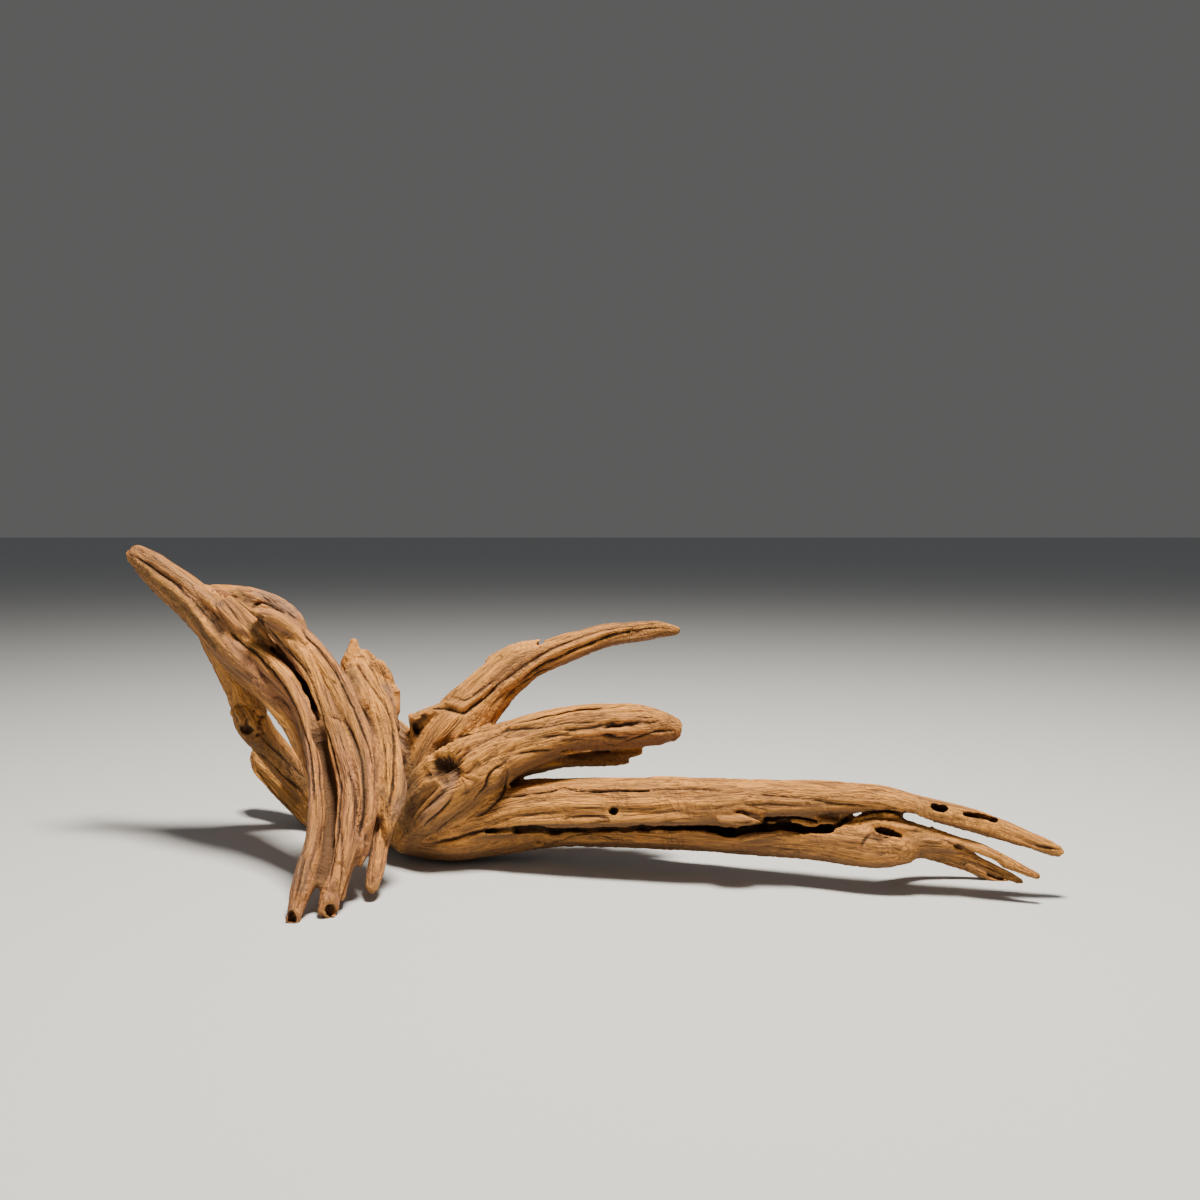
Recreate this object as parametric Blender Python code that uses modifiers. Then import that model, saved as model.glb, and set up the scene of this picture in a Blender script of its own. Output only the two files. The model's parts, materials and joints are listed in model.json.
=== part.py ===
# Driftwood root, one solid piece of wood.
# Every limb, cord, rib and foot is a tube lofted through a few hand-placed stations. A station
# is (x, y, z, half width, half thickness) in millimetres. The tubes are fused by a voxel remesh,
# smoothed, thinned out, hollowed at the knot and the eyelets, and cut level with the ground
# where the wood stands on it.
import math
import random

import bmesh
import bpy
from mathutils import Vector

MM = 0.001
DRAWN_LENGTH = 530.0          # length the stations are drawn at
WOOD_LENGTH = 530.0           # length the piece is built at
SCALE = MM * WOOD_LENGTH / DRAWN_LENGTH
FUSE_CELL = 2.2               # cell of the voxel remesh, mm
KEEP_FACES = 0.118            # share of the fused faces that is kept
SOFTEN_ROUNDS = 3
RING_SPACING = 4.0            # spacing of the lofted rings, mm
RING_SIDES = 28
CAP_REACH = 0.8               # length of a rounded end, as a share of its smaller half size
CAP_RINGS = ((0.55, 0.9), (0.9, 0.6))   # (share of that length, share of the section)
FLUTE_WAVES = (5, 8, 11)      # ridges around a section
FLUTE_DRIFT = 0.012           # most a ridge turns per mm along its tube, in radians
GROUND_DEPTH = 0.1            # metres

UP = (0.0, 0.0, 1.0)
FRONT = (0.0, -0.85, 0.5)
FRONT_RIGHT = (0.35, -0.85, 0.35)

# name: (direction the thickness points in, flute depth, stations)
LIMBS = {
    # the raised arm at the left and the plate behind its root
    "horn": (UP, 0.036, [
        (-262, 46, 178, 6, 7), (-254, 45, 173, 9, 9), (-241, 43, 162, 10, 10.5),
        (-227, 40, 151, 12, 12), (-212, 35, 140, 14, 14), (-198, 27, 130, 17, 14),
        (-184, 17, 120, 17, 11), (-169, 4, 109, 14, 8), (-155, -8, 98, 9, 6)]),
    "shoulder": (FRONT, 0.030, [
        (-222, 41, 150, 9, 8), (-208, 42, 148, 12, 8), (-194, 43, 145, 14, 7.5),
        (-181, 42, 140, 15, 7), (-171, 38, 133, 14, 6.5), (-163, 31, 122, 12, 6.5),
        (-154, 18, 110, 10, 6.5), (-143, 2, 97, 9, 6), (-132, -14, 84, 7, 5)]),
    # the bundle of cords that sweeps from the horn down to the front feet
    "sheet": (FRONT, 0.018, [
        (-205, 34, 132, 15, 9), (-182, 19, 121, 20, 8), (-155, -3, 106, 21, 7),
        (-130, -28, 82, 20, 6), (-117, -49, 56, 17, 6), (-113, -66, 37, 15, 5.5),
        (-114, -79, 24, 11, 5)]),
    "cord_a": (FRONT, 0.030, [
        (-215, 32, 143, 8, 9), (-198, 22, 131, 8, 9), (-185, 13, 126, 7, 8),
        (-173, 4, 120, 6.5, 8), (-155, -12, 109, 6.8, 8), (-142, -26, 95, 6, 8),
        (-136, -35, 84, 5, 8), (-132, -45, 73, 4.6, 8), (-128, -56, 61, 4.5, 8),
        (-125, -67, 50, 4.5, 8), (-123, -79, 38, 4.7, 8), (-123, -89, 28, 5, 7.5),
        (-124, -97, 21, 5.8, 7), (-125, -104, 13, 5.5, 6), (-126, -110, 6, 4.5, 5),
        (-127, -116, -3, 3.6, 4)]),
    "cord_b": (FRONT, 0.030, [
        (-175, 4, 145, 3.4, 4.5), (-169, 1, 141, 5, 6), (-161, -2, 135, 6, 7),
        (-149, -10, 125, 6.5, 8), (-139, -19, 113, 6.5, 8), (-131, -28, 99, 6.5, 8),
        (-124, -36, 87, 6.5, 8), (-117, -46, 74, 6.5, 8), (-111, -56, 61, 6.3, 8),
        (-108, -66, 50, 6.2, 8), (-107, -77, 39, 6.2, 7.5), (-107, -87, 29, 6, 7),
        (-109, -96, 19, 5.4, 6.5), (-110, -103, 11, 4.8, 5.5), (-112, -107, 5, 4.2, 4.6)]),
    "cord_c": (FRONT, 0.030, [
        (-160, 5, 140, 4.5, 6), (-147, -4, 131, 5.5, 7), (-134, -14, 119, 6, 8),
        (-123, -24, 106, 6, 8), (-114, -34, 92, 6, 8), (-108, -43, 79, 6, 8),
        (-103, -53, 66, 5.5, 8), (-100, -63, 55, 5.5, 8), (-98, -72, 43, 5.5, 7),
        (-99, -80, 33, 5, 6), (-102, -85, 25, 4, 4.5)]),
    "cord_d": (FRONT, 0.0, [
        (-152, 6, 133, 3.4, 5), (-141, -1, 125, 4, 6.5), (-129, -11, 114, 4, 7.5),
        (-119, -20, 103, 4, 8), (-111, -29, 91, 4, 8), (-104, -39, 79, 4, 8),
        (-100, -49, 65, 4, 8), (-98, -58, 54, 4, 8), (-97, -67, 42, 4, 7),
        (-96, -75, 31, 4, 5.5), (-99, -79, 20, 3, 4)]),
    "foot_strap": (FRONT, 0.0, [
        (-101, -81, 28, 3.5, 5), (-103, -89, 18, 3.4, 4.5), (-104, -95, 10, 3.2, 4),
        (-105, -98, 5, 2.8, 3.2)]),
    # the broad strap with a hanging tip, the ragged crest above it, the third foot below it
    "strap": (FRONT_RIGHT, 0.024, [
        (-118, 5, 112, 8, 5), (-109, -5, 99, 8.5, 5.5), (-102, -14, 90, 8, 6),
        (-97, -24, 80, 7.6, 6.5), (-93, -34, 70, 7.6, 6.5), (-90, -43, 61, 7.8, 6.5),
        (-88, -50, 52, 8, 6.5), (-88, -56, 45, 7.5, 6), (-88, -61, 39, 5.2, 5),
        (-88, -65, 32, 2.6, 3)]),
    "crest_a": (FRONT_RIGHT, 0.0, [
        (-121, 10, 128, 2, 2.5), (-119, 9, 119, 5, 4), (-114, 6, 108, 8.5, 5),
        (-106, 0, 94, 9, 6), (-98, -8, 80, 7, 6)]),
    "crest_b": (FRONT_RIGHT, 0.0, [
        (-114, 13, 121, 2.5, 3), (-109, 11, 111, 5.5, 4), (-103, 8, 100, 6.5, 5),
        (-99, 6, 91, 5.5, 5), (-99, 2, 83, 3.5, 4)]),
    "foot_back": (FRONT_RIGHT, 0.0, [
        (-91, -42, 52, 6, 6), (-91, -51, 38, 6, 6), (-92, -61, 27, 5.2, 5.5),
        (-92, -71, 17, 4.4, 5), (-92, -80, 9, 3.6, 4), (-93, -83, 5, 2.6, 3)]),
    # wood hidden behind the strap, it ties the bundle to the hub
    "tie": (UP, 0.0, [
        (-112, -2, 86, 9, 8), (-101, 2, 75, 10, 9), (-88, 3, 64, 11, 10), (-74, 1, 52, 12, 12)]),
    # the limb that leaves the horn behind the bundle and runs to the hub, and a root beside it
    "back_limb": (UP, 0.036, [
        (-219, 40, 143, 10, 10), (-214, 46, 129, 10, 10), (-208, 49, 115, 10, 10),
        (-203, 51, 103, 10, 10), (-200, 53, 93, 10, 10), (-197, 55, 83, 10.5, 10.5),
        (-196, 57, 73, 11, 10.5), (-189, 61, 61, 10, 9.5), (-181, 65, 49, 9, 9),
        (-172, 69, 36, 9.5, 9), (-160, 70, 25, 10, 10), (-142, 62, 16, 12, 12),
        (-118, 44, 13, 14, 12), (-88, 18, 14, 18, 13)]),
    "root": (UP, 0.030, [
        (-204, 110, 41, 8, 8), (-197, 104, 36, 11.5, 11.5), (-181, 92, 24, 12, 12),
        (-161, 77, 12, 12, 13), (-142, 60, 8, 13, 12), (-116, 38, 10, 14, 10)]),
    # ribs along the far side that carry the root's grain into the hub and the long limb
    "hub_rib": (UP, 0.0, [
        (-134, 56, 16, 8, 8), (-112, 44, 20, 9, 8), (-94, 30, 32, 10, 9), (-82, 20, 50, 9, 10),
        (-68, 17, 69, 8, 9), (-52, 20, 86, 6, 7)]),
    "limb_rib": (UP, 0.0, [
        (-104, 30, 22, 9, 8), (-76, 20, 29, 10, 9), (-44, 12, 33, 10, 9), (-10, 3, 36, 9, 8),
        (26, -9, 38, 8, 7), (60, -20, 40, 6, 6)]),
    # the hub and its arms
    "hub_base": (UP, 0.030, [
        (-96, 14, 14, 15, 10), (-80, 4, 15, 22, 13), (-58, -2, 16, 24, 14),
        (-36, -2, 17, 20, 13), (-10, -4, 20, 15, 12)]),
    "hub_arm": (UP, 0.036, [
        (-86, -6, 15, 14, 11), (-75, -10, 29, 20, 17), (-62, -14, 45, 22, 22),
        (-44, -15, 59, 20, 19), (-21, -13, 70, 17, 15), (8, -10, 77.5, 15, 12.5),
        (37, -9, 80, 14, 12.5), (57, -8, 79, 12, 10.5), (67, -8, 78, 8, 7.2)]),
    "arm_under": (UP, 0.0, [
        (-40, -4, 52, 12, 9), (-22, -1, 56, 12, 7), (0, 3, 58, 11, 5), (22, 5, 57, 10, 4),
        (43, 7, 57, 8, 3)]),
    "hub_up": (UP, 0.036, [
        (-80, -2, 30, 16, 16), (-72, 0, 55, 20, 17), (-60, 3, 76, 20, 17),
        (-46, 8, 92, 15, 15), (-34, 12, 104, 13, 13.5), (-20, 15, 114, 11, 12),
        (-7, 19, 118, 9.5, 9.5), (11, 24, 124, 8.5, 8.4), (29, 30, 129, 7.5, 7.3),
        (47, 35, 131, 7, 6.6), (62, 39, 132, 6, 5.4), (73, 40, 131, 3, 3)]),
    "arm_flap": (UP, 0.0, [
        (-46, 9, 99, 7, 6), (-33, 13, 111, 7, 5.5), (-21, 15, 120, 6, 4.5),
        (-14, 16, 125, 4, 3), (-10, 17, 127, 1.6, 1.5)]),
    "spur": (UP, 0.0, [
        (-66, 1, 76, 9, 9), (-76, -1, 82, 5, 4.5), (-85, -5, 85, 2.2, 2.2)]),
    # the long limb, split along its length into an upper and a lower part
    "upper_limb": (UP, 0.030, [
        (-64, -4, 20, 20, 14), (-48, -7, 25, 20, 15), (-30, -11, 30, 20, 15),
        (-11, -16, 35, 20, 14), (26, -26, 39, 20, 14), (64, -35, 41.5, 19, 13.5),
        (92, -41, 44, 18, 12), (111, -44, 46, 17, 10.3), (137, -49, 47, 14, 9.2),
        (156, -54, 48.5, 12, 8.6), (174, -58, 48.5, 10.5, 6.8), (191, -62, 46, 9.5, 6),
        (211, -67, 42.5, 9, 6), (235, -72, 36, 7.5, 5.4), (257, -75, 28, 5.5, 4.5),
        (265, -76, 25, 3.5, 3.2)]),
    "lower_limb": (UP, 0.030, [
        (-46, 2, 15, 16, 11), (-12, -3, 19, 13.5, 11.5), (24, -11, 22, 13, 11.5),
        (64, -21, 24, 13, 12), (104, -35, 25, 12.5, 12.5), (131, -46, 26.5, 13, 13),
        (150, -53, 26, 13, 13), (163, -59, 25.5, 13, 13), (176, -63, 24.5, 12, 12),
        (187, -66, 24, 10, 9)]),
    "finger_a": (UP, 0.0, [
        (180, -65, 28.5, 7, 7), (201, -70, 27.5, 6, 5.4), (213, -73, 25, 5, 4.6),
        (225, -77, 21.5, 4.6, 4.2), (237, -81, 17, 4, 3.6), (251, -86, 12.5, 3, 2.6)]),
    "finger_b": (UP, 0.0, [
        (182, -62, 25, 7, 7), (196, -64, 22.5, 4.5, 5), (208, -64, 19.5, 3.8, 4),
        (221, -65, 14.5, 3.5, 3.5), (234, -66, 10.5, 3.2, 3), (245, -68, 7, 2.2, 2.2)]),
    "finger_c": (UP, 0.0, [
        (176, -56, 21, 7, 8), (190, -47, 18, 5.2, 5.2), (202, -42, 16.5, 4.4, 4.2),
        (213, -41, 13, 4, 4), (227, -41, 8, 3.8, 3.8), (238, -42, 3.5, 3.8, 3.8),
        (248, -43, -0.5, 3.4, 3.4)]),
}

# name: (centre, half sizes, turn about y in degrees) of the deep hollows
HOLLOWS = {
    "knot_hollow": ((-60, -37, 63), (7.5, 7, 5.5), 35),
    "eyelet_near": ((203, -74, 45.5), (5, 7, 2.2), 12),
    "eyelet_far": ((222, -78, 41), (9, 7, 2.1), 17),
}


def clear_scene():
    for obj in list(bpy.data.objects):
        bpy.data.objects.remove(obj, do_unlink=True)


def collection(name):
    group = bpy.data.collections.new(name)
    bpy.context.scene.collection.children.link(group)
    return group


def spline(points, at):
    # Catmull-Rom through the stations, at = station number with a fraction
    last = len(points) - 1
    i = min(int(at), last - 1)
    t = at - i
    p0, p1 = points[max(i - 1, 0)], points[i]
    p2, p3 = points[i + 1], points[min(i + 2, last)]
    out = []
    for a, b, c, d in zip(p0, p1, p2, p3):
        out.append(0.5 * (2 * b + (c - a) * t + (2 * a - 5 * b + 4 * c - d) * t * t
                          + (3 * b - a - 3 * c + d) * t ** 3))
    return out


def samples_along(stations):
    # evenly spaced (x, y, z, half width, half thickness) along the smooth path
    samples = []
    for i in range(len(stations) - 1):
        gap = (Vector(stations[i + 1][:3]) - Vector(stations[i][:3])).length
        parts = max(2, round(gap / RING_SPACING))
        for k in range(parts):
            samples.append(spline(stations, i + k / parts))
    samples.append([float(v) for v in stations[-1]])
    return samples


def sections(stations):
    # (centre, tangent, half width, half thickness, distance) of each ring, with rounded ends
    samples = samples_along(stations)
    centres = [Vector(s[:3]) for s in samples]
    last = len(samples) - 1
    tangents = [(centres[min(i + 1, last)] - centres[max(i - 1, 0)]).normalized()
                for i in range(last + 1)]
    rows = []
    travelled = 0.0
    for i in range(last + 1):
        if i:
            travelled += (centres[i] - centres[i - 1]).length
        rows.append((centres[i], tangents[i], samples[i][3], samples[i][4], travelled))
    ends = []
    for row, sign in ((rows[0], -1.0), (rows[-1], 1.0)):
        centre, tangent, half_w, half_t, along = row
        reach = min(half_w, half_t) * CAP_REACH * sign
        cap = [(centre + tangent * reach * share, tangent, half_w * size, half_t * size, along)
               for share, size in CAP_RINGS]
        ends.append((cap, centre + tangent * reach))
    first_cap, first_tip = ends[0]
    last_cap, last_tip = ends[1]
    return first_cap[::-1] + rows + last_cap, first_tip, last_tip


def loft(mesh, stations, facing, flute, seed):
    rng = random.Random(seed)
    waves = [(n, rng.uniform(0, math.tau), rng.uniform(-FLUTE_DRIFT, FLUTE_DRIFT))
             for n in FLUTE_WAVES]
    rows, first_tip, last_tip = sections(stations)
    loops = []
    for centre, tangent, half_w, half_t, along in rows:
        thick = Vector(facing)
        thick = (thick - tangent * thick.dot(tangent)).normalized()
        wide = tangent.cross(thick)
        loop = []
        for k in range(RING_SIDES):
            a = math.tau * k / RING_SIDES
            r = 1.0
            for n, phase, drift in waves:
                r += flute * math.sin(n * a + phase + drift * along)
            p = centre + wide * (half_w * r * math.cos(a)) + thick * (half_t * r * math.sin(a))
            loop.append(mesh.verts.new(p * SCALE))
        loops.append(loop)
    start = mesh.verts.new(first_tip * SCALE)
    end = mesh.verts.new(last_tip * SCALE)
    for k in range(RING_SIDES):
        j = (k + 1) % RING_SIDES
        for lower, upper in zip(loops, loops[1:]):
            mesh.faces.new((lower[k], lower[j], upper[j], upper[k]))
        mesh.faces.new((loops[0][j], loops[0][k], start))
        mesh.faces.new((loops[-1][k], loops[-1][j], end))


def wood_material():
    material = bpy.data.materials.new("wood")
    material.use_nodes = True
    shader = material.node_tree.nodes["Principled BSDF"]
    shader.inputs["Base Color"].default_value = (0.42, 0.24, 0.12, 1.0)
    shader.inputs["Roughness"].default_value = 0.8
    return material


def as_cutter(name, group):
    # the primitive just added becomes a hidden cutter
    cutter = bpy.context.active_object
    cutter.name = name
    for old in list(cutter.users_collection):
        old.objects.unlink(cutter)
    group.objects.link(cutter)
    cutter.hide_render = True
    cutter.display_type = "WIRE"
    return cutter


def ground_cutter(group):
    # a slab whose top is z = 0, so that what stands on the ground ends in small flats
    bpy.ops.mesh.primitive_cube_add(size=1.0, location=(0.0, 0.0, -GROUND_DEPTH / 2))
    cutter = as_cutter("ground_cutter", group)
    cutter.scale = (1.0, 1.0, GROUND_DEPTH)
    return cutter


def hollow_cutter(name, centre, half, turn, group):
    bpy.ops.mesh.primitive_uv_sphere_add(segments=16, ring_count=8, radius=1.0)
    cutter = as_cutter(name, group)
    cutter.location = Vector(centre) * SCALE
    cutter.scale = Vector(half) * SCALE
    cutter.rotation_euler = (0.0, math.radians(turn), 0.0)
    return cutter


def carve(wood, name, cutter):
    cut = wood.modifiers.new(name, "BOOLEAN")
    cut.operation = "DIFFERENCE"
    cut.solver = "EXACT"
    cut.object = cutter


def driftwood(group):
    mesh = bmesh.new()
    for number, (facing, flute, stations) in enumerate(LIMBS.values()):
        loft(mesh, stations, facing, flute, 11 + number)
    bmesh.ops.recalc_face_normals(mesh, faces=mesh.faces)
    data = bpy.data.meshes.new("driftwood")
    mesh.to_mesh(data)
    mesh.free()
    data.materials.append(wood_material())
    wood = bpy.data.objects.new("driftwood", data)
    group.objects.link(wood)
    fuse = wood.modifiers.new("fuse", "REMESH")
    fuse.mode = "VOXEL"
    fuse.voxel_size = FUSE_CELL * SCALE
    fuse.use_smooth_shade = True
    soften = wood.modifiers.new("soften", "SMOOTH")
    soften.factor = 0.5
    soften.iterations = SOFTEN_ROUNDS
    thin = wood.modifiers.new("thin", "DECIMATE")
    thin.ratio = KEEP_FACES
    return wood


def build():
    clear_scene()
    parts = collection("driftwood_part")
    cutters = collection("cutters")
    wood = driftwood(parts)
    for name, (centre, half, turn) in HOLLOWS.items():
        carve(wood, name, hollow_cutter(name, centre, half, turn, cutters))
    carve(wood, "ground", ground_cutter(cutters))


build()
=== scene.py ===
import json
import math
import random

import bmesh
import bpy
import numpy as np
from mathutils import Matrix, Vector, kdtree, noise
from mathutils.bvhtree import BVHTree

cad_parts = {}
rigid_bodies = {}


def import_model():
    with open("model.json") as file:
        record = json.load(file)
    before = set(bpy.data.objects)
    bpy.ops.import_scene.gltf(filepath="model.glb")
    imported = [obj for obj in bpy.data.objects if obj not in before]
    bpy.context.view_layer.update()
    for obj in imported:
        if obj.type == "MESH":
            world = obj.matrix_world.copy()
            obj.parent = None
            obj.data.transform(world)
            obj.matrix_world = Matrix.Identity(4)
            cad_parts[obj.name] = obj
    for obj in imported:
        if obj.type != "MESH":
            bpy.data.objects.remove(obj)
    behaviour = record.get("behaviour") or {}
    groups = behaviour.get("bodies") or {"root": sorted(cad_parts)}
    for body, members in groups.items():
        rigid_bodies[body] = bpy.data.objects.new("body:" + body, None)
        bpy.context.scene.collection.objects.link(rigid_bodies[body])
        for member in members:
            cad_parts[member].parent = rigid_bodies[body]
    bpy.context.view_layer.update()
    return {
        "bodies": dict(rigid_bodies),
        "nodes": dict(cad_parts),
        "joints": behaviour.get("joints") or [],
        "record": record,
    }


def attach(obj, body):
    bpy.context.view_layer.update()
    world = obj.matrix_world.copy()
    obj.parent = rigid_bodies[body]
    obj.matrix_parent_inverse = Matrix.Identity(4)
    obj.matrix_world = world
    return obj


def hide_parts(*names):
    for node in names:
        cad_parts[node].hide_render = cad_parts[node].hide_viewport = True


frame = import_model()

# The wood is modelled in millimetres in the row frame and scaled to metres at the end.
# Marks on it, such as cracks, are placed by pixels of the 1200 x 1200 frame of this camera.
view = {
    "place": (25.0, -696.0, 193.0),     # mm
    "downward": 3.34,                   # degrees below level
    "lens": 36.0,
    "sensor": 36.0,
    "frameSide": 1200,                  # pixels
    "farthest": 50,                     # metres
}

wood = {
    "seed": 11,
    "ringSpacing": 2.5,                 # mm between the rings of a strand
    "ringSides": 40,
    "capReach": 0.8,                    # length of a rounded end, as a share of its smaller half size
    "capRings": ((0.55, 0.9), (0.9, 0.6)),
    "fluteWaves": (5, 8, 11),
    "fluteDrift": 0.012,
    "fuseCell": 1.5,                    # mm, first remesh, which joins the strands
    "fineCell": 0.95,                   # mm, second remesh, which carries the relief
    "triangles": 196000,
    "footLevel": 0.05,                  # mm, lowest point of the feet
}

up = (0.0, 0.0, 1.0)
front = (0.0, -0.85, 0.5)
frontRight = (0.35, -0.85, 0.35)

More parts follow.
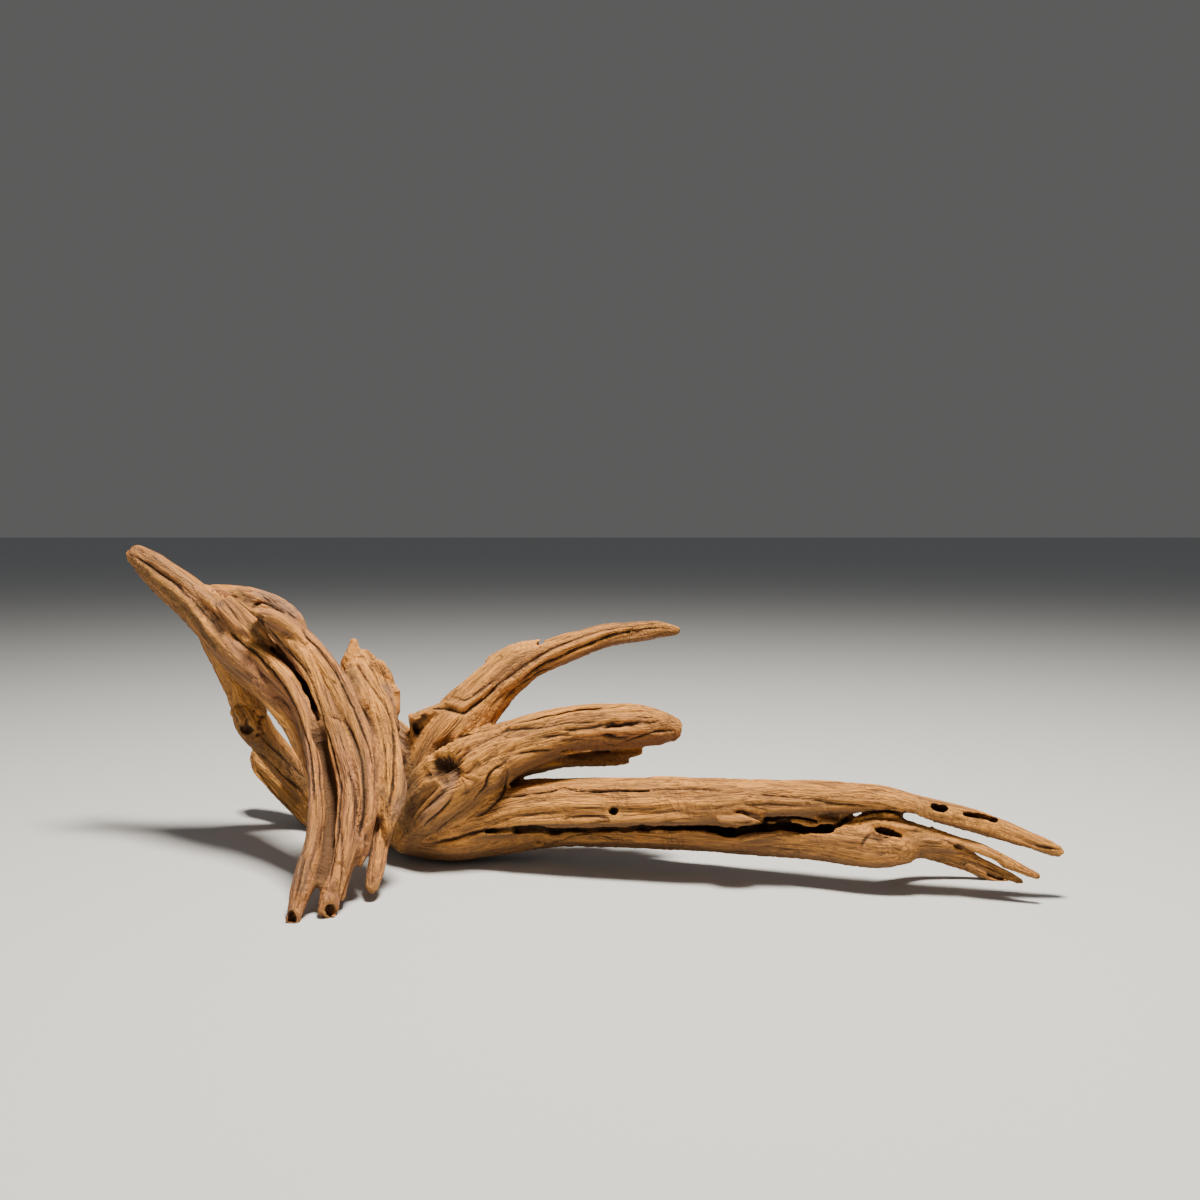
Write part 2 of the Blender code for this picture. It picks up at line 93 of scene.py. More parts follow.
# name: (direction the thickness points in, flute depth, relief style, stations), and a station
# is (x, y, z, half width, half thickness) in mm
strands = {
    "horn": (up, 0.036, "bundle", [(-262, 46, 178, 6, 7), (-254, 45, 173, 9, 9),
        (-241, 43, 162, 10, 10.5), (-227, 40, 151, 12, 12), (-212, 35, 140, 14, 14),
        (-198, 27, 130, 17, 14), (-184, 17, 120, 17, 11), (-169, 4, 109, 14, 8), (-155, -8, 98, 9, 6)]),
    "shoulder": (front, 0.03, "bundle", [(-222, 41, 150, 9, 8), (-208, 42, 148, 12, 8),
        (-194, 43, 145, 14, 7.5), (-181, 42, 140, 15, 7), (-171, 38, 133, 14, 6.5),
        (-163, 31, 122, 12, 6.5), (-154, 18, 110, 10, 6.5), (-143, 2, 97, 9, 6), (-132, -14, 84, 7, 5)]),
    "sheet": (front, 0.018, "bundle", [(-205, 34, 132, 15, 9), (-182, 19, 121, 20, 8),
        (-155, -3, 106, 21, 7), (-130, -28, 82, 20, 6), (-117, -49, 56, 17, 6), (-113, -66, 37, 15, 5.5),
        (-114, -79, 24, 11, 5)]),
    "cordA": (front, 0.03, "bundle", [(-215, 32, 143, 8, 9), (-198, 22, 131, 8, 9), (-185, 13, 126, 7, 8),
        (-173, 4, 120, 6.5, 8), (-155, -12, 109, 6.8, 8), (-142, -26, 95, 6, 8), (-136, -35, 84, 5, 8),
        (-132, -45, 73, 4.6, 8), (-128, -56, 61, 4.5, 8), (-125, -67, 50, 4.5, 8),
        (-123, -79, 38, 4.7, 8), (-123, -89, 28, 5, 7.5), (-124, -97, 21, 5.8, 7),
        (-125, -104, 13, 5.5, 6), (-126, -110, 6, 4.5, 5), (-127, -116, -3, 3.6, 4)]),
    "cordB": (front, 0.03, "bundle", [(-175, 4, 144, 2.8, 4.5), (-169, 1, 140, 4.5, 6),
        (-161, -2, 135, 6, 7), (-149, -10, 125, 6.5, 8), (-139, -19, 113, 6.5, 8),
        (-131, -28, 99, 6.5, 8), (-124, -36, 87, 6.5, 8), (-117, -46, 74, 6.5, 8),
        (-111, -56, 61, 6.3, 8), (-108, -66, 50, 6.2, 8), (-107, -77, 39, 6.2, 7.5),
        (-107, -87, 29, 6, 7), (-109, -96, 19, 5.4, 6.5), (-110, -103, 11, 4.8, 5.5),
        (-112, -107, 5, 4.2, 4.6)]),
    "cordC": (front, 0.03, "bundle", [(-160, 5, 140, 4.5, 6), (-147, -4, 131, 5.5, 7),
        (-134, -14, 119, 6, 8), (-123, -24, 106, 6, 8), (-114, -34, 92, 6, 8), (-108, -43, 79, 6, 8),
        (-103, -53, 66, 5.5, 8), (-100, -63, 55, 5.5, 8), (-98, -72, 43, 5.5, 7),
        (-100, -78, 33, 4.5, 5.5), (-99, -81, 27, 3, 4)]),
    "cordD": (front, 0, "bundle", [(-152, 6, 133, 3.4, 5), (-141, -1, 125, 4, 6.5),
        (-129, -11, 114, 4, 7.5), (-119, -20, 103, 4, 8), (-111, -29, 91, 4, 8), (-104, -39, 79, 4, 8),
        (-100, -49, 65, 4, 8), (-98.5, -58, 54, 4, 8), (-98.5, -67, 42, 4, 7), (-98.3, -75, 31, 3.6, 5.5),
        (-99, -78, 25, 3.2, 4.4), (-99.8, -80, 19.5, 2.2, 3)]),
    "footStrap": (front, 0, "bundle", [(-103, -80, 28, 3.2, 4.5), (-105, -87, 18, 3, 4),
        (-106.5, -92, 10, 2.8, 3.6), (-107, -94, 6, 2.4, 2.8)]),
    "strap": (frontRight, 0.024, "band", [(-118, 5, 112, 8, 5), (-109, -5, 99, 8.5, 5.5),
        (-102, -14, 90, 8, 6), (-97, -24, 80, 7.6, 6.5), (-93, -34, 70, 7.6, 6.5),
        (-90, -43, 61, 7.8, 6.5), (-88, -50, 52, 8, 6.5), (-88, -56, 45, 7.5, 6), (-88, -61, 39, 5.2, 5),
        (-88, -65, 32, 2.6, 3)]),
    "crestA": (frontRight, 0, "band", [(-121, 10, 128, 2, 2.5), (-119, 9, 119, 5, 4),
        (-114, 6, 108, 8.5, 5), (-106, 0, 94, 9, 6), (-98, -8, 80, 7, 6)]),
    "crestB": (frontRight, 0, "band", [(-114, 13, 121, 2.5, 3), (-109, 11, 111, 5.5, 4),
        (-103, 8, 100, 6.5, 5), (-99, 6, 91, 5.5, 5), (-99, 2, 83, 3.5, 4)]),
    "footBack": (frontRight, 0, "bundle", [(-91, -42, 52, 6, 6), (-91.5, -51, 38, 6, 6),
        (-93, -61, 27, 5.1, 5.5), (-93.2, -71, 17, 4.1, 5), (-93.6, -78, 11, 3.6, 4.2),
        (-94, -81.5, 7, 3.3, 3.4)]),
    "tie": (up, 0, "rough", [(-112, -2, 86, 9, 8), (-101, 2, 75, 10, 9), (-88, 3, 64, 11, 10),
        (-74, 1, 52, 12, 12)]),
    "backLimb": (up, 0.036, "rough", [(-219, 40, 143, 10, 10), (-214, 46, 129, 10, 10),
        (-208, 49, 115, 10, 10), (-203, 51, 103, 10, 10), (-200, 53, 93, 10, 10),
        (-197, 55, 83, 10.5, 10.5), (-196, 57, 73, 11, 10.5), (-189, 61, 61, 10, 9.5),
        (-181, 65, 49, 9, 9), (-172, 69, 36, 9.5, 9), (-160, 70, 25, 10, 10), (-142, 62, 16, 12, 12),
        (-118, 44, 13, 14, 12), (-88, 18, 14, 18, 13)]),
    "root": (up, 0.03, "rough", [(-204, 110, 41, 8, 8), (-197, 104, 36, 11.5, 11.5),
        (-181, 92, 24, 12, 12), (-161, 77, 12, 12, 13), (-142, 60, 8, 13, 12), (-116, 38, 10, 14, 10)]),
    "hubRib": (up, 0, "limb", [(-134, 56, 16, 8, 8), (-112, 44, 20, 9, 8), (-94, 30, 32, 10, 9),
        (-82, 20, 50, 9, 10), (-68, 17, 69, 8, 9), (-52, 20, 86, 6, 7)]),
    "limbRib": (up, 0, "limb", [(-104, 30, 22, 9, 8), (-76, 20, 29, 10, 9), (-44, 12, 33, 10, 9),
        (-10, 3, 36, 9, 8), (26, -9, 38, 8, 7), (60, -20, 40, 6, 6)]),
    "hubBase": (up, 0.03, "limb", [(-96, 14, 14, 15, 10), (-80, 4, 15, 22, 13), (-58, -2, 16, 24, 14),
        (-36, -2, 17, 20, 13), (-10, -4, 20, 15, 12)]),
    "hubArm": (up, 0.036, "limb", [(-86, -6, 15, 14, 11), (-75, -10, 29, 20, 17), (-62, -14, 45, 22, 22),
        (-44, -15, 59, 20, 19), (-21, -13, 70, 17, 15), (8, -10, 78.3, 15, 13.6),
        (37, -9, 80.5, 14, 13.2), (57, -8, 79.3, 12, 11), (67, -8, 78, 8, 7.2)]),
    "armUnder": (up, 0, "limb", [(-40, -4, 52, 12, 9), (-22, -1, 56, 12, 7), (0, 3, 58, 11, 5),
        (22, 5, 57.8, 9, 3.3), (36, 7, 58.3, 6, 2.3)]),
    "hubUp": (up, 0.036, "limb", [(-80, -2, 30, 16, 16), (-72, 0, 55, 20, 17), (-60, 3, 76, 20, 17),
        (-46, 8, 92, 15, 15), (-34, 12, 104, 13, 13.5), (-20, 15, 114, 11, 12), (-7, 19, 118, 9.5, 9.5),
        (11, 24, 124, 8.5, 8.4), (29, 30, 129, 7.5, 7.3), (47, 35, 131, 7, 6.6), (62, 39, 132, 6, 5.4),
        (73, 40, 131, 3, 3)]),
    "armFlap": (up, 0, "limb", [(-46, 9, 99, 7, 6), (-33, 13, 111, 7, 5.5), (-21, 15, 120, 6, 4.5),
        (-14, 16, 125, 4, 3), (-10, 17, 127, 1.6, 1.5)]),
    "spur": (up, 0, "limb", [(-66, 1, 76, 9, 9), (-76, -1, 82, 5, 4.5), (-85, -5, 85, 2.2, 2.2)]),
    "upperLimb": (up, 0.03, "limb", [(-64, -4, 20, 20, 14), (-48, -7, 25, 20, 15), (-30, -11, 30, 20, 15),
        (-11, -16, 35, 20, 14), (26, -26, 39, 20, 14), (64, -35, 41.5, 19, 13.5), (92, -41, 44, 18, 12),
        (111, -44, 46, 17, 10.3), (137, -49, 47, 14, 9.2), (156, -54, 48.5, 12, 8.6),
        (174, -58, 48.5, 10.5, 6.8), (191, -62, 46, 9.5, 6), (211, -67, 42.5, 9, 6),
        (235, -72, 36, 7.5, 5.4), (257, -75, 28, 5.5, 4.5), (265, -76, 25, 3.5, 3.2)]),
    "lowerLimb": (up, 0.03, "limb", [(-46, 2, 15, 16, 11), (-12, -3, 19, 13.5, 11.5),
        (24, -11, 22, 13, 11.5), (64, -21, 24, 13, 12), (104, -35, 25, 12.5, 12.5),
        (131, -46, 26.5, 13, 13), (150, -53, 26, 13, 13), (163, -59, 25.5, 13, 13),
        (176, -63, 24.5, 12, 12), (187, -66, 24, 10, 9)]),
    "fingerA": (up, 0, "limb", [(180, -65, 28.5, 7, 7), (201, -70, 28.5, 5.8, 5),
        (213, -73, 28, 4.6, 3.6), (225, -77, 25.2, 4.2, 3.2), (237, -81, 20.2, 3.8, 3.2),
        (251, -86, 14.4, 3, 2.5)]),
    "fingerB": (up, 0, "limb", [(182, -62, 25, 7, 7), (196, -64, 23.4, 4.5, 5.6),
        (208, -64, 21.8, 3.8, 5.4), (220, -65, 18.4, 3.5, 4.8), (232, -66, 13.4, 3.2, 3),
        (245, -68, 8, 2.4, 2.1), (249.5, -69, 6, 1.8, 1.6)]),
    "fingerC": (up, 0, "limb", [(176, -56, 21, 7, 8), (190, -47, 18, 5.2, 5.2),
        (202, -42, 16.5, 4.4, 4.2), (213, -41, 13, 4, 4), (227, -41, 8, 3.8, 3.8),
        (238, -42, 3.5, 3.8, 3.8), (248, -43, -0.5, 3.4, 3.4)]),
}

# slighter forms without flutes: a station is (pixel x, pixel y, y in mm, half width, half thickness)
twigs = {
    "flapHook": (up, "limb", [(492, 662, 17, 5, 4), (508, 653, 16, 4.6, 3.4), (523, 646, 15.5, 4.2, 2.9),
        (535, 643, 15.5, 3.2, 2)]),
    "spurPlate": (up, "limb", [(452, 706, 2, 5, 3.4), (437, 709.5, -2, 5.5, 3.2),
        (424, 714, -5, 5.5, 2.8), (412, 718.5, -7, 4, 1.9)]),
    "spurBlade": (front, "limb", [(411, 720, -6, 1.5, 4), (412.5, 727, -5, 1.6, 5),
        (413, 736, -3, 2.4, 6), (413, 747, 0, 4, 7), (418, 760, 4, 7, 9)]),
    "slatUpper": (up, "limb", [(530, 757, 3, 7, 2), (570, 756, 4, 7, 1.6), (605, 755, 5, 6, 1.5),
        (626, 754.2, 6, 4.5, 1.4), (641, 753.2, 6.5, 2.2, 1.3)]),
    "slatLower": (up, "limb", [(530, 765, 1, 8, 2.6), (575, 763.3, 3, 7, 2.2), (605, 762.3, 4, 6, 1.9),
        (618, 762, 5, 4.6, 1.6), (628, 761.8, 5.5, 2.4, 1.4)]),
    "slatRight": (up, "limb", [(596, 749, 7, 6, 1.8), (625, 746.5, 8, 5, 1.5), (648, 744, 8.5, 3.5, 1.2),
        (660, 742.5, 8.5, 2, 0.9)]),
    "crestFray": (frontRight, "rough", [(377, 664, 9, 4.6, 2.4), (383, 675, 8, 6, 2.6),
        (387, 687, 7, 7, 2.6), (391.5, 695, 6.5, 6.4, 2.4), (394.5, 705, 6, 5, 2.2),
        (395, 716, 5.5, 2.6, 1.8)]),
    "crestLeft": (frontRight, "band", [(354.5, 639.5, 9, 2.1, 2.2), (353.5, 648, 8.5, 3.4, 3.2),
        (351.5, 657, 8, 5, 4), (351, 667, 7, 7, 4.5), (355, 680, 4, 8, 4.5)]),
    "crestTag": (frontRight, "rough", [(388, 689, 7, 3, 2), (395, 690, 6.5, 2.2, 1.6),
        (399.5, 691.5, 6, 1.3, 1.2)]),
    "tongue": (up, "limb", [(718, 820, -59, 2, 1.4), (730, 820.5, -61, 3.2, 1.9),
        (741, 822, -62, 3.4, 2.1), (752, 821, -62, 3, 1.7), (764, 819, -60, 2.2, 1)]),
    "hump": (up, "limb", [(846, 831, -56, 8, 4.5), (857, 828, -58, 9, 6), (872, 826.5, -60, 9, 6.2),
        (892, 827.5, -62, 8.6, 6.2), (912, 832, -65, 7.6, 5.8), (934, 838.5, -68, 6, 5.4),
        (956, 845, -71, 5, 4.6)]),
    "lowerLip": (up, "limb", [(742, 838, -50, 5, 2.4), (758, 835, -52, 5, 2.8), (785, 834.5, -53, 6, 3),
        (812, 837, -54, 7, 3.2), (834, 834, -55, 8, 4)]),
    "hubLump": (up, "rough", [(392, 744, 6, 5, 4.5), (400, 741, 4, 4.4, 4), (408, 743, 2, 5, 4)]),
    "hornEdge": (front, "bundle", [(228, 606, 24, 7, 6), (238, 614, 17, 8, 6), (248, 624, 12.5, 8, 6),
        (258, 636, 9.5, 7, 6), (268, 649, 7, 5, 5)]),
    "nubBack": (front, "bundle", [(257, 614, -3, 2.7, 3.4), (265, 615.5, -5, 3.7, 4.4),
        (279, 621.5, -8, 4.8, 5.2), (294, 631, -10, 5, 5), (309, 646, -13, 4.6, 4.6),
        (322, 664, -15, 4, 4)]),
    "footTwo": (front, "bundle", [(334, 872, -97, 5, 5), (332, 884, -99, 5.2, 5.2),
        (330, 895, -102, 5.2, 5.2), (328.5, 905, -104, 4.9, 5), (328.5, 912, -106, 4.6, 4.6)]),
    "footOneWing": (front, "bundle", [(320, 838, -82, 4.5, 4), (319.5, 852, -88, 4.8, 4),
        (317.5, 866, -94, 4.4, 4), (312, 880, -99, 3.6, 4), (305, 894, -105, 3.2, 3.6),
        (299, 907, -110, 2.6, 3)]),
    "plateBack": (up, "limb", [(545, 753, 12, 6, 3), (580, 752.5, 13, 6, 3), (604, 752, 14, 4.6, 2.4),
        (618, 752, 14, 3, 1.8)]),
    "strapWeb": (frontRight, "band", [(350, 674, -4, 5, 4), (358, 689, -11, 5, 4),
        (366, 706, -18, 4.4, 3.6), (373, 727, -21, 3, 2.6)]),
    "backKnot": (front, "rough", [(240, 712, 46, 5, 5), (246, 722, 44, 6, 5.6), (249, 732, 46, 5.6, 5),
        (258, 740, 52, 5, 4)]),
}

# style: mm across a ridge, its height in mm, and the height of the fine fibres
relief = {
    "bundle": {"ridgePitch": 6.5, "ridge": 1.3, "fibrePitch": 2.4, "fibre": 0.6},
    "band": {"ridgePitch": 8.0, "ridge": 0.7, "fibrePitch": 2.2, "fibre": 0.5},
    "limb": {"ridgePitch": 5.5, "ridge": 0.95, "fibrePitch": 2.2, "fibre": 0.6},
    "rough": {"ridgePitch": 7.0, "ridge": 1.6, "fibrePitch": 2.6, "fibre": 0.8},
}

grainRun = {
    "ridgeStretch": 13.0,               # how much longer than wide a ridge is
    "fibreStretch": 18.0,
    "sway": 2.6,                        # mm that the grain sways
    "swaySize": 34,                     # mm in which it does
    "swell": 1.1,                       # mm, slow swelling and waisting of a limb
    "swellSize": 24,
    "strengthSize": 30,                 # mm in which the ridges grow stronger and weaker
    "wornSize": 26,                     # mm, patches that are worn smooth
    "crackSize": 7,                     # mm in which a crack widens and narrows
    "sandDepth": 0.5,                   # mm, grit of the worn places
    "gritSize": 1.9,
    "lumpSize": 4.5,
    # painted shade: points deeper in a carved gap are coloured darker, between these depths
    "sunkFrom": 1.2,                    # mm inside the first surface where a gap turns dark
    "sunkTo": 4.5,
    "markSpacing": 1.5,                 # pixels between the places of a marked line
    "endMarks": 7,                      # places in which a marked line fades out at its ends
    # by what share the random ridges give way at each of these
    "giveWay": {"sand": 0.55, "band": 0.6, "crack": 0.5, "seam": 0.25},
}

# deep gaps that go into the wood along the camera's line: (half width mm, depth mm, pixels)
slots = {
    "limbGapStart": (1.5, 7, [(484, 832), (494, 830.5), (505, 829.5), (518, 828.7), (530, 828.5)]),
    "limbGap": (3, 15, [(512, 828.5), (535, 828.5), (560, 829), (600, 828), (640, 827), (680, 827),
        (705, 827.5), (722, 830), (738, 833)]),
    "limbGapRight": (2.5, 12, [(730, 833.5), (744, 831), (760, 828.8), (780, 827.5), (800, 828.5),
        (820, 829.5), (836, 828)]),
    "tongueGap": (1.5, 8, [(758, 819.5), (770, 818.5), (782, 817.5), (795, 817.5), (806, 819),
        (819, 822)]),
    "tongueLip": (1.2, 5, [(726, 817), (734, 813), (741, 812), (748, 814), (756, 817.5), (764, 819.5)]),
    "fingerGap": (1.5, 8, [(834, 828), (842, 823), (850, 818), (859, 813.5), (870, 811.5), (882, 811),
        (894, 812.5), (908, 816), (922, 820)]),
    "fingerGapWide": (2.7, 10, [(900, 813.5), (914, 817), (928, 821), (940, 824.5), (956, 830)]),
    "cordGap": (2, 11, [(270, 647), (281, 656), (291, 666), (299, 676), (306, 687), (312, 699),
        (316, 710)]),
    "cordGapLow": (1.5, 5, [(313, 702), (317, 714), (318.5, 724), (316.5, 733)]),
    "plateGap": (1.3, 4, [(560, 751.5), (590, 751), (612, 751.5), (634, 751), (650, 750.5)]),
    "flapNotch": (1.3, 14, [(534, 645.5), (539, 644), (545, 640.5), (551, 635.5)]),
    "limbHole": (2, 7, [(609, 811), (613, 811), (618, 810.5)]),
    "lowerHole": (1.3, 5, [(535, 842.5), (543, 842.5)]),
    "nearEyelet": (2.2, 9, [(930, 806.5), (938, 807.8), (948, 809.3)]),
    "farEyelet": (1.7, 9, [(961, 813.6), (972, 815.2), (985, 818), (999, 820.8)]),
    "bulgeHole": (1.4, 5, [(874, 829.3), (882, 829.6), (890, 832), (898, 834.7), (906, 835.7)]),
    "fingerCleft": (1.8, 6, [(953, 845), (963, 849), (970, 852.5), (978, 855.5), (986, 859), (994, 862.5),
        (1003, 867.2), (1012, 872.3), (1021, 877.6), (1030, 883)]),
    "fingerSlit": (1.5, 6, [(964, 862), (974, 867.5), (984, 871.5), (994, 876), (1003, 880.5),
        (1010, 885)]),
    "backKnotHole": (1.5, 4, [(240, 728), (244, 730.5), (249, 731), (254, 729)]),
    "spurCleft": (2, 6, [(412.5, 722), (415.5, 728), (417.5, 735)]),
    "nubMouth": (2.4, 7, [(254, 613.5), (257, 616.5), (261, 620), (266, 624.5)]),
    "footTwoHollow": (3.4, 9, [(328, 902), (329.5, 909), (332, 918)]),
    "footOneHollow": (2.5, 6, [(292.5, 909), (291.5, 917), (290, 926)]),
    "strapPit": (1.2, 3, [(384, 827.5), (390, 830)]),
}

# rounded bands, raised or, in furrows, hollowed: (half width mm, height mm, pixels)
welts = {
    "collar": (3.6, 1.6, [(505, 769), (497, 777), (495, 787), (490, 797), (480, 805), (468, 815),
        (455, 824)]),
    "knotLip": (3, 1.8, [(426, 770), (428, 762), (434, 757), (443, 752.5), (452, 749), (463, 746),
        (476, 742)]),
    "pinkRidge": (2.2, 1.6, [(446, 783), (437, 794), (426, 806), (414, 822)]),
    "pinkRidgeTwo": (2.2, 1.4, [(453, 788), (444, 801), (432, 813), (418, 829)]),
    "cordBRidge": (3.2, 1.7, [(268, 613), (283, 622), (297, 634), (308, 648), (318, 664), (327, 682),
        (331, 700), (336, 718), (344, 734), (349, 752), (353, 768)]),
    "cordBLow": (3, 1.4, [(347, 776), (349, 792), (349, 812), (345, 836), (341, 862), (337, 884)]),
    "cordCRidge": (2, 1.3, [(318, 637), (329, 650), (339, 666), (349, 684), (357, 703), (364, 724),
        (369, 744), (372, 765), (372, 790), (370, 812), (368, 836)]),
    "cordARidge": (2.2, 1.3, [(262, 655), (275, 667), (287, 682), (297, 699), (305, 718), (310, 740),
        (313, 764), (315, 790), (315, 815), (312, 840), (305, 862)]),
    "hornRidge": (3.4, 1.4, [(150, 552), (168, 567), (187, 583), (207, 599), (226, 616), (243, 634)]),
    "hornBelt": (2.6, 1.3, [(150, 573), (166, 585), (182, 598), (195, 611), (205, 626), (213, 641)]),
    "shoulderRidge": (2.4, 1.4, [(233, 592), (243, 600), (252, 608), (258, 618)]),
    "shoulderPlate": (2.6, 1.4, [(252, 592), (259, 600), (270, 607), (284, 614)]),
    "strapRidge": (2.6, 1.4, [(381, 692), (389, 710), (395, 730), (399, 752), (400, 775), (398, 800)]),
    "strapLeft": (2.2, 1, [(352, 676), (362, 694), (371, 714), (379, 738), (382, 764), (382, 790)]),
    "upperArmRidge": (1.9, 1, [(500, 690), (515, 680), (530, 669), (545, 658), (560, 651), (580, 642),
        (606, 634), (640, 628)]),
    "limbLip": (2.4, 1.3, [(508, 821), (540, 821), (580, 822), (620, 820), (660, 819), (705, 819)]),
    "bulgeRim": (2.4, 1.1, [(862, 822), (876, 823), (892, 826), (908, 830), (925, 833)]),
    "foldRidge": (2.6, 1.6, [(434, 703), (448, 704), (462, 707), (472, 701), (484, 691), (497, 681)]),
    "middleArmBand": (2.2, 1.2, [(512, 725), (536, 721), (562, 716.5), (590, 714), (620, 716)]),
    "middleArmLow": (2.4, 1, [(560, 733), (590, 732.5), (620, 731), (650, 727)]),
}

furrows = {
    "channel": (4.4, -3.4, [(315, 728), (321, 744), (325, 762), (328, 780), (330.5, 798), (331, 816),
        (330.5, 834), (328.5, 852), (325.5, 868), (321, 882)]),
    "cordGapValley": (3, -2, [(276, 652), (289, 666), (300, 682), (310, 699), (316, 716)]),
    "cordBHollow": (2.4, -2.2, [(346, 724), (353.5, 741), (360.5, 754), (363.5, 768), (364.5, 783),
        (364.5, 799), (363, 816)]),
    "cordBCValley": (2.4, -2.4, [(303, 629), (310, 638), (319, 648), (329, 660), (338.5, 674), (346, 689),
        (353, 706)]),
    "strapValley": (2.4, -1.8, [(360, 700), (366, 712), (372, 729), (375.5, 747), (376.5, 765),
        (376, 783), (375.5, 800)]),
    "hornRecess": (3.2, -2.6, [(196, 602), (203, 610), (210, 618), (217, 628), (223, 638)]),
    "shoulderHollow": (3.4, -2.2, [(238, 592), (246, 599), (254, 605)]),
    "plateHollow": (3, -1.6, [(266, 595), (276, 603), (287, 611)]),
    "nubUnder": (2.8, -3, [(253, 615), (258, 621), (263, 627)]),
    "strapTip": (2, -1.6, [(383, 802), (386, 812), (388, 823)]),
    "crestBowl": (3.6, -1.6, [(350, 669), (353, 677), (358, 687)]),
    "middleArmHollow": (2.4, -1.2, [(505, 735.5), (517, 734.5), (531, 736)]),
    "foldShade": (2.6, -2.2, [(429, 752), (435, 748), (442, 744.5), (449, 741), (456, 738)]),
    "hubSide": (4, -1.8, [(414, 800), (408, 812), (404, 824)]),
}

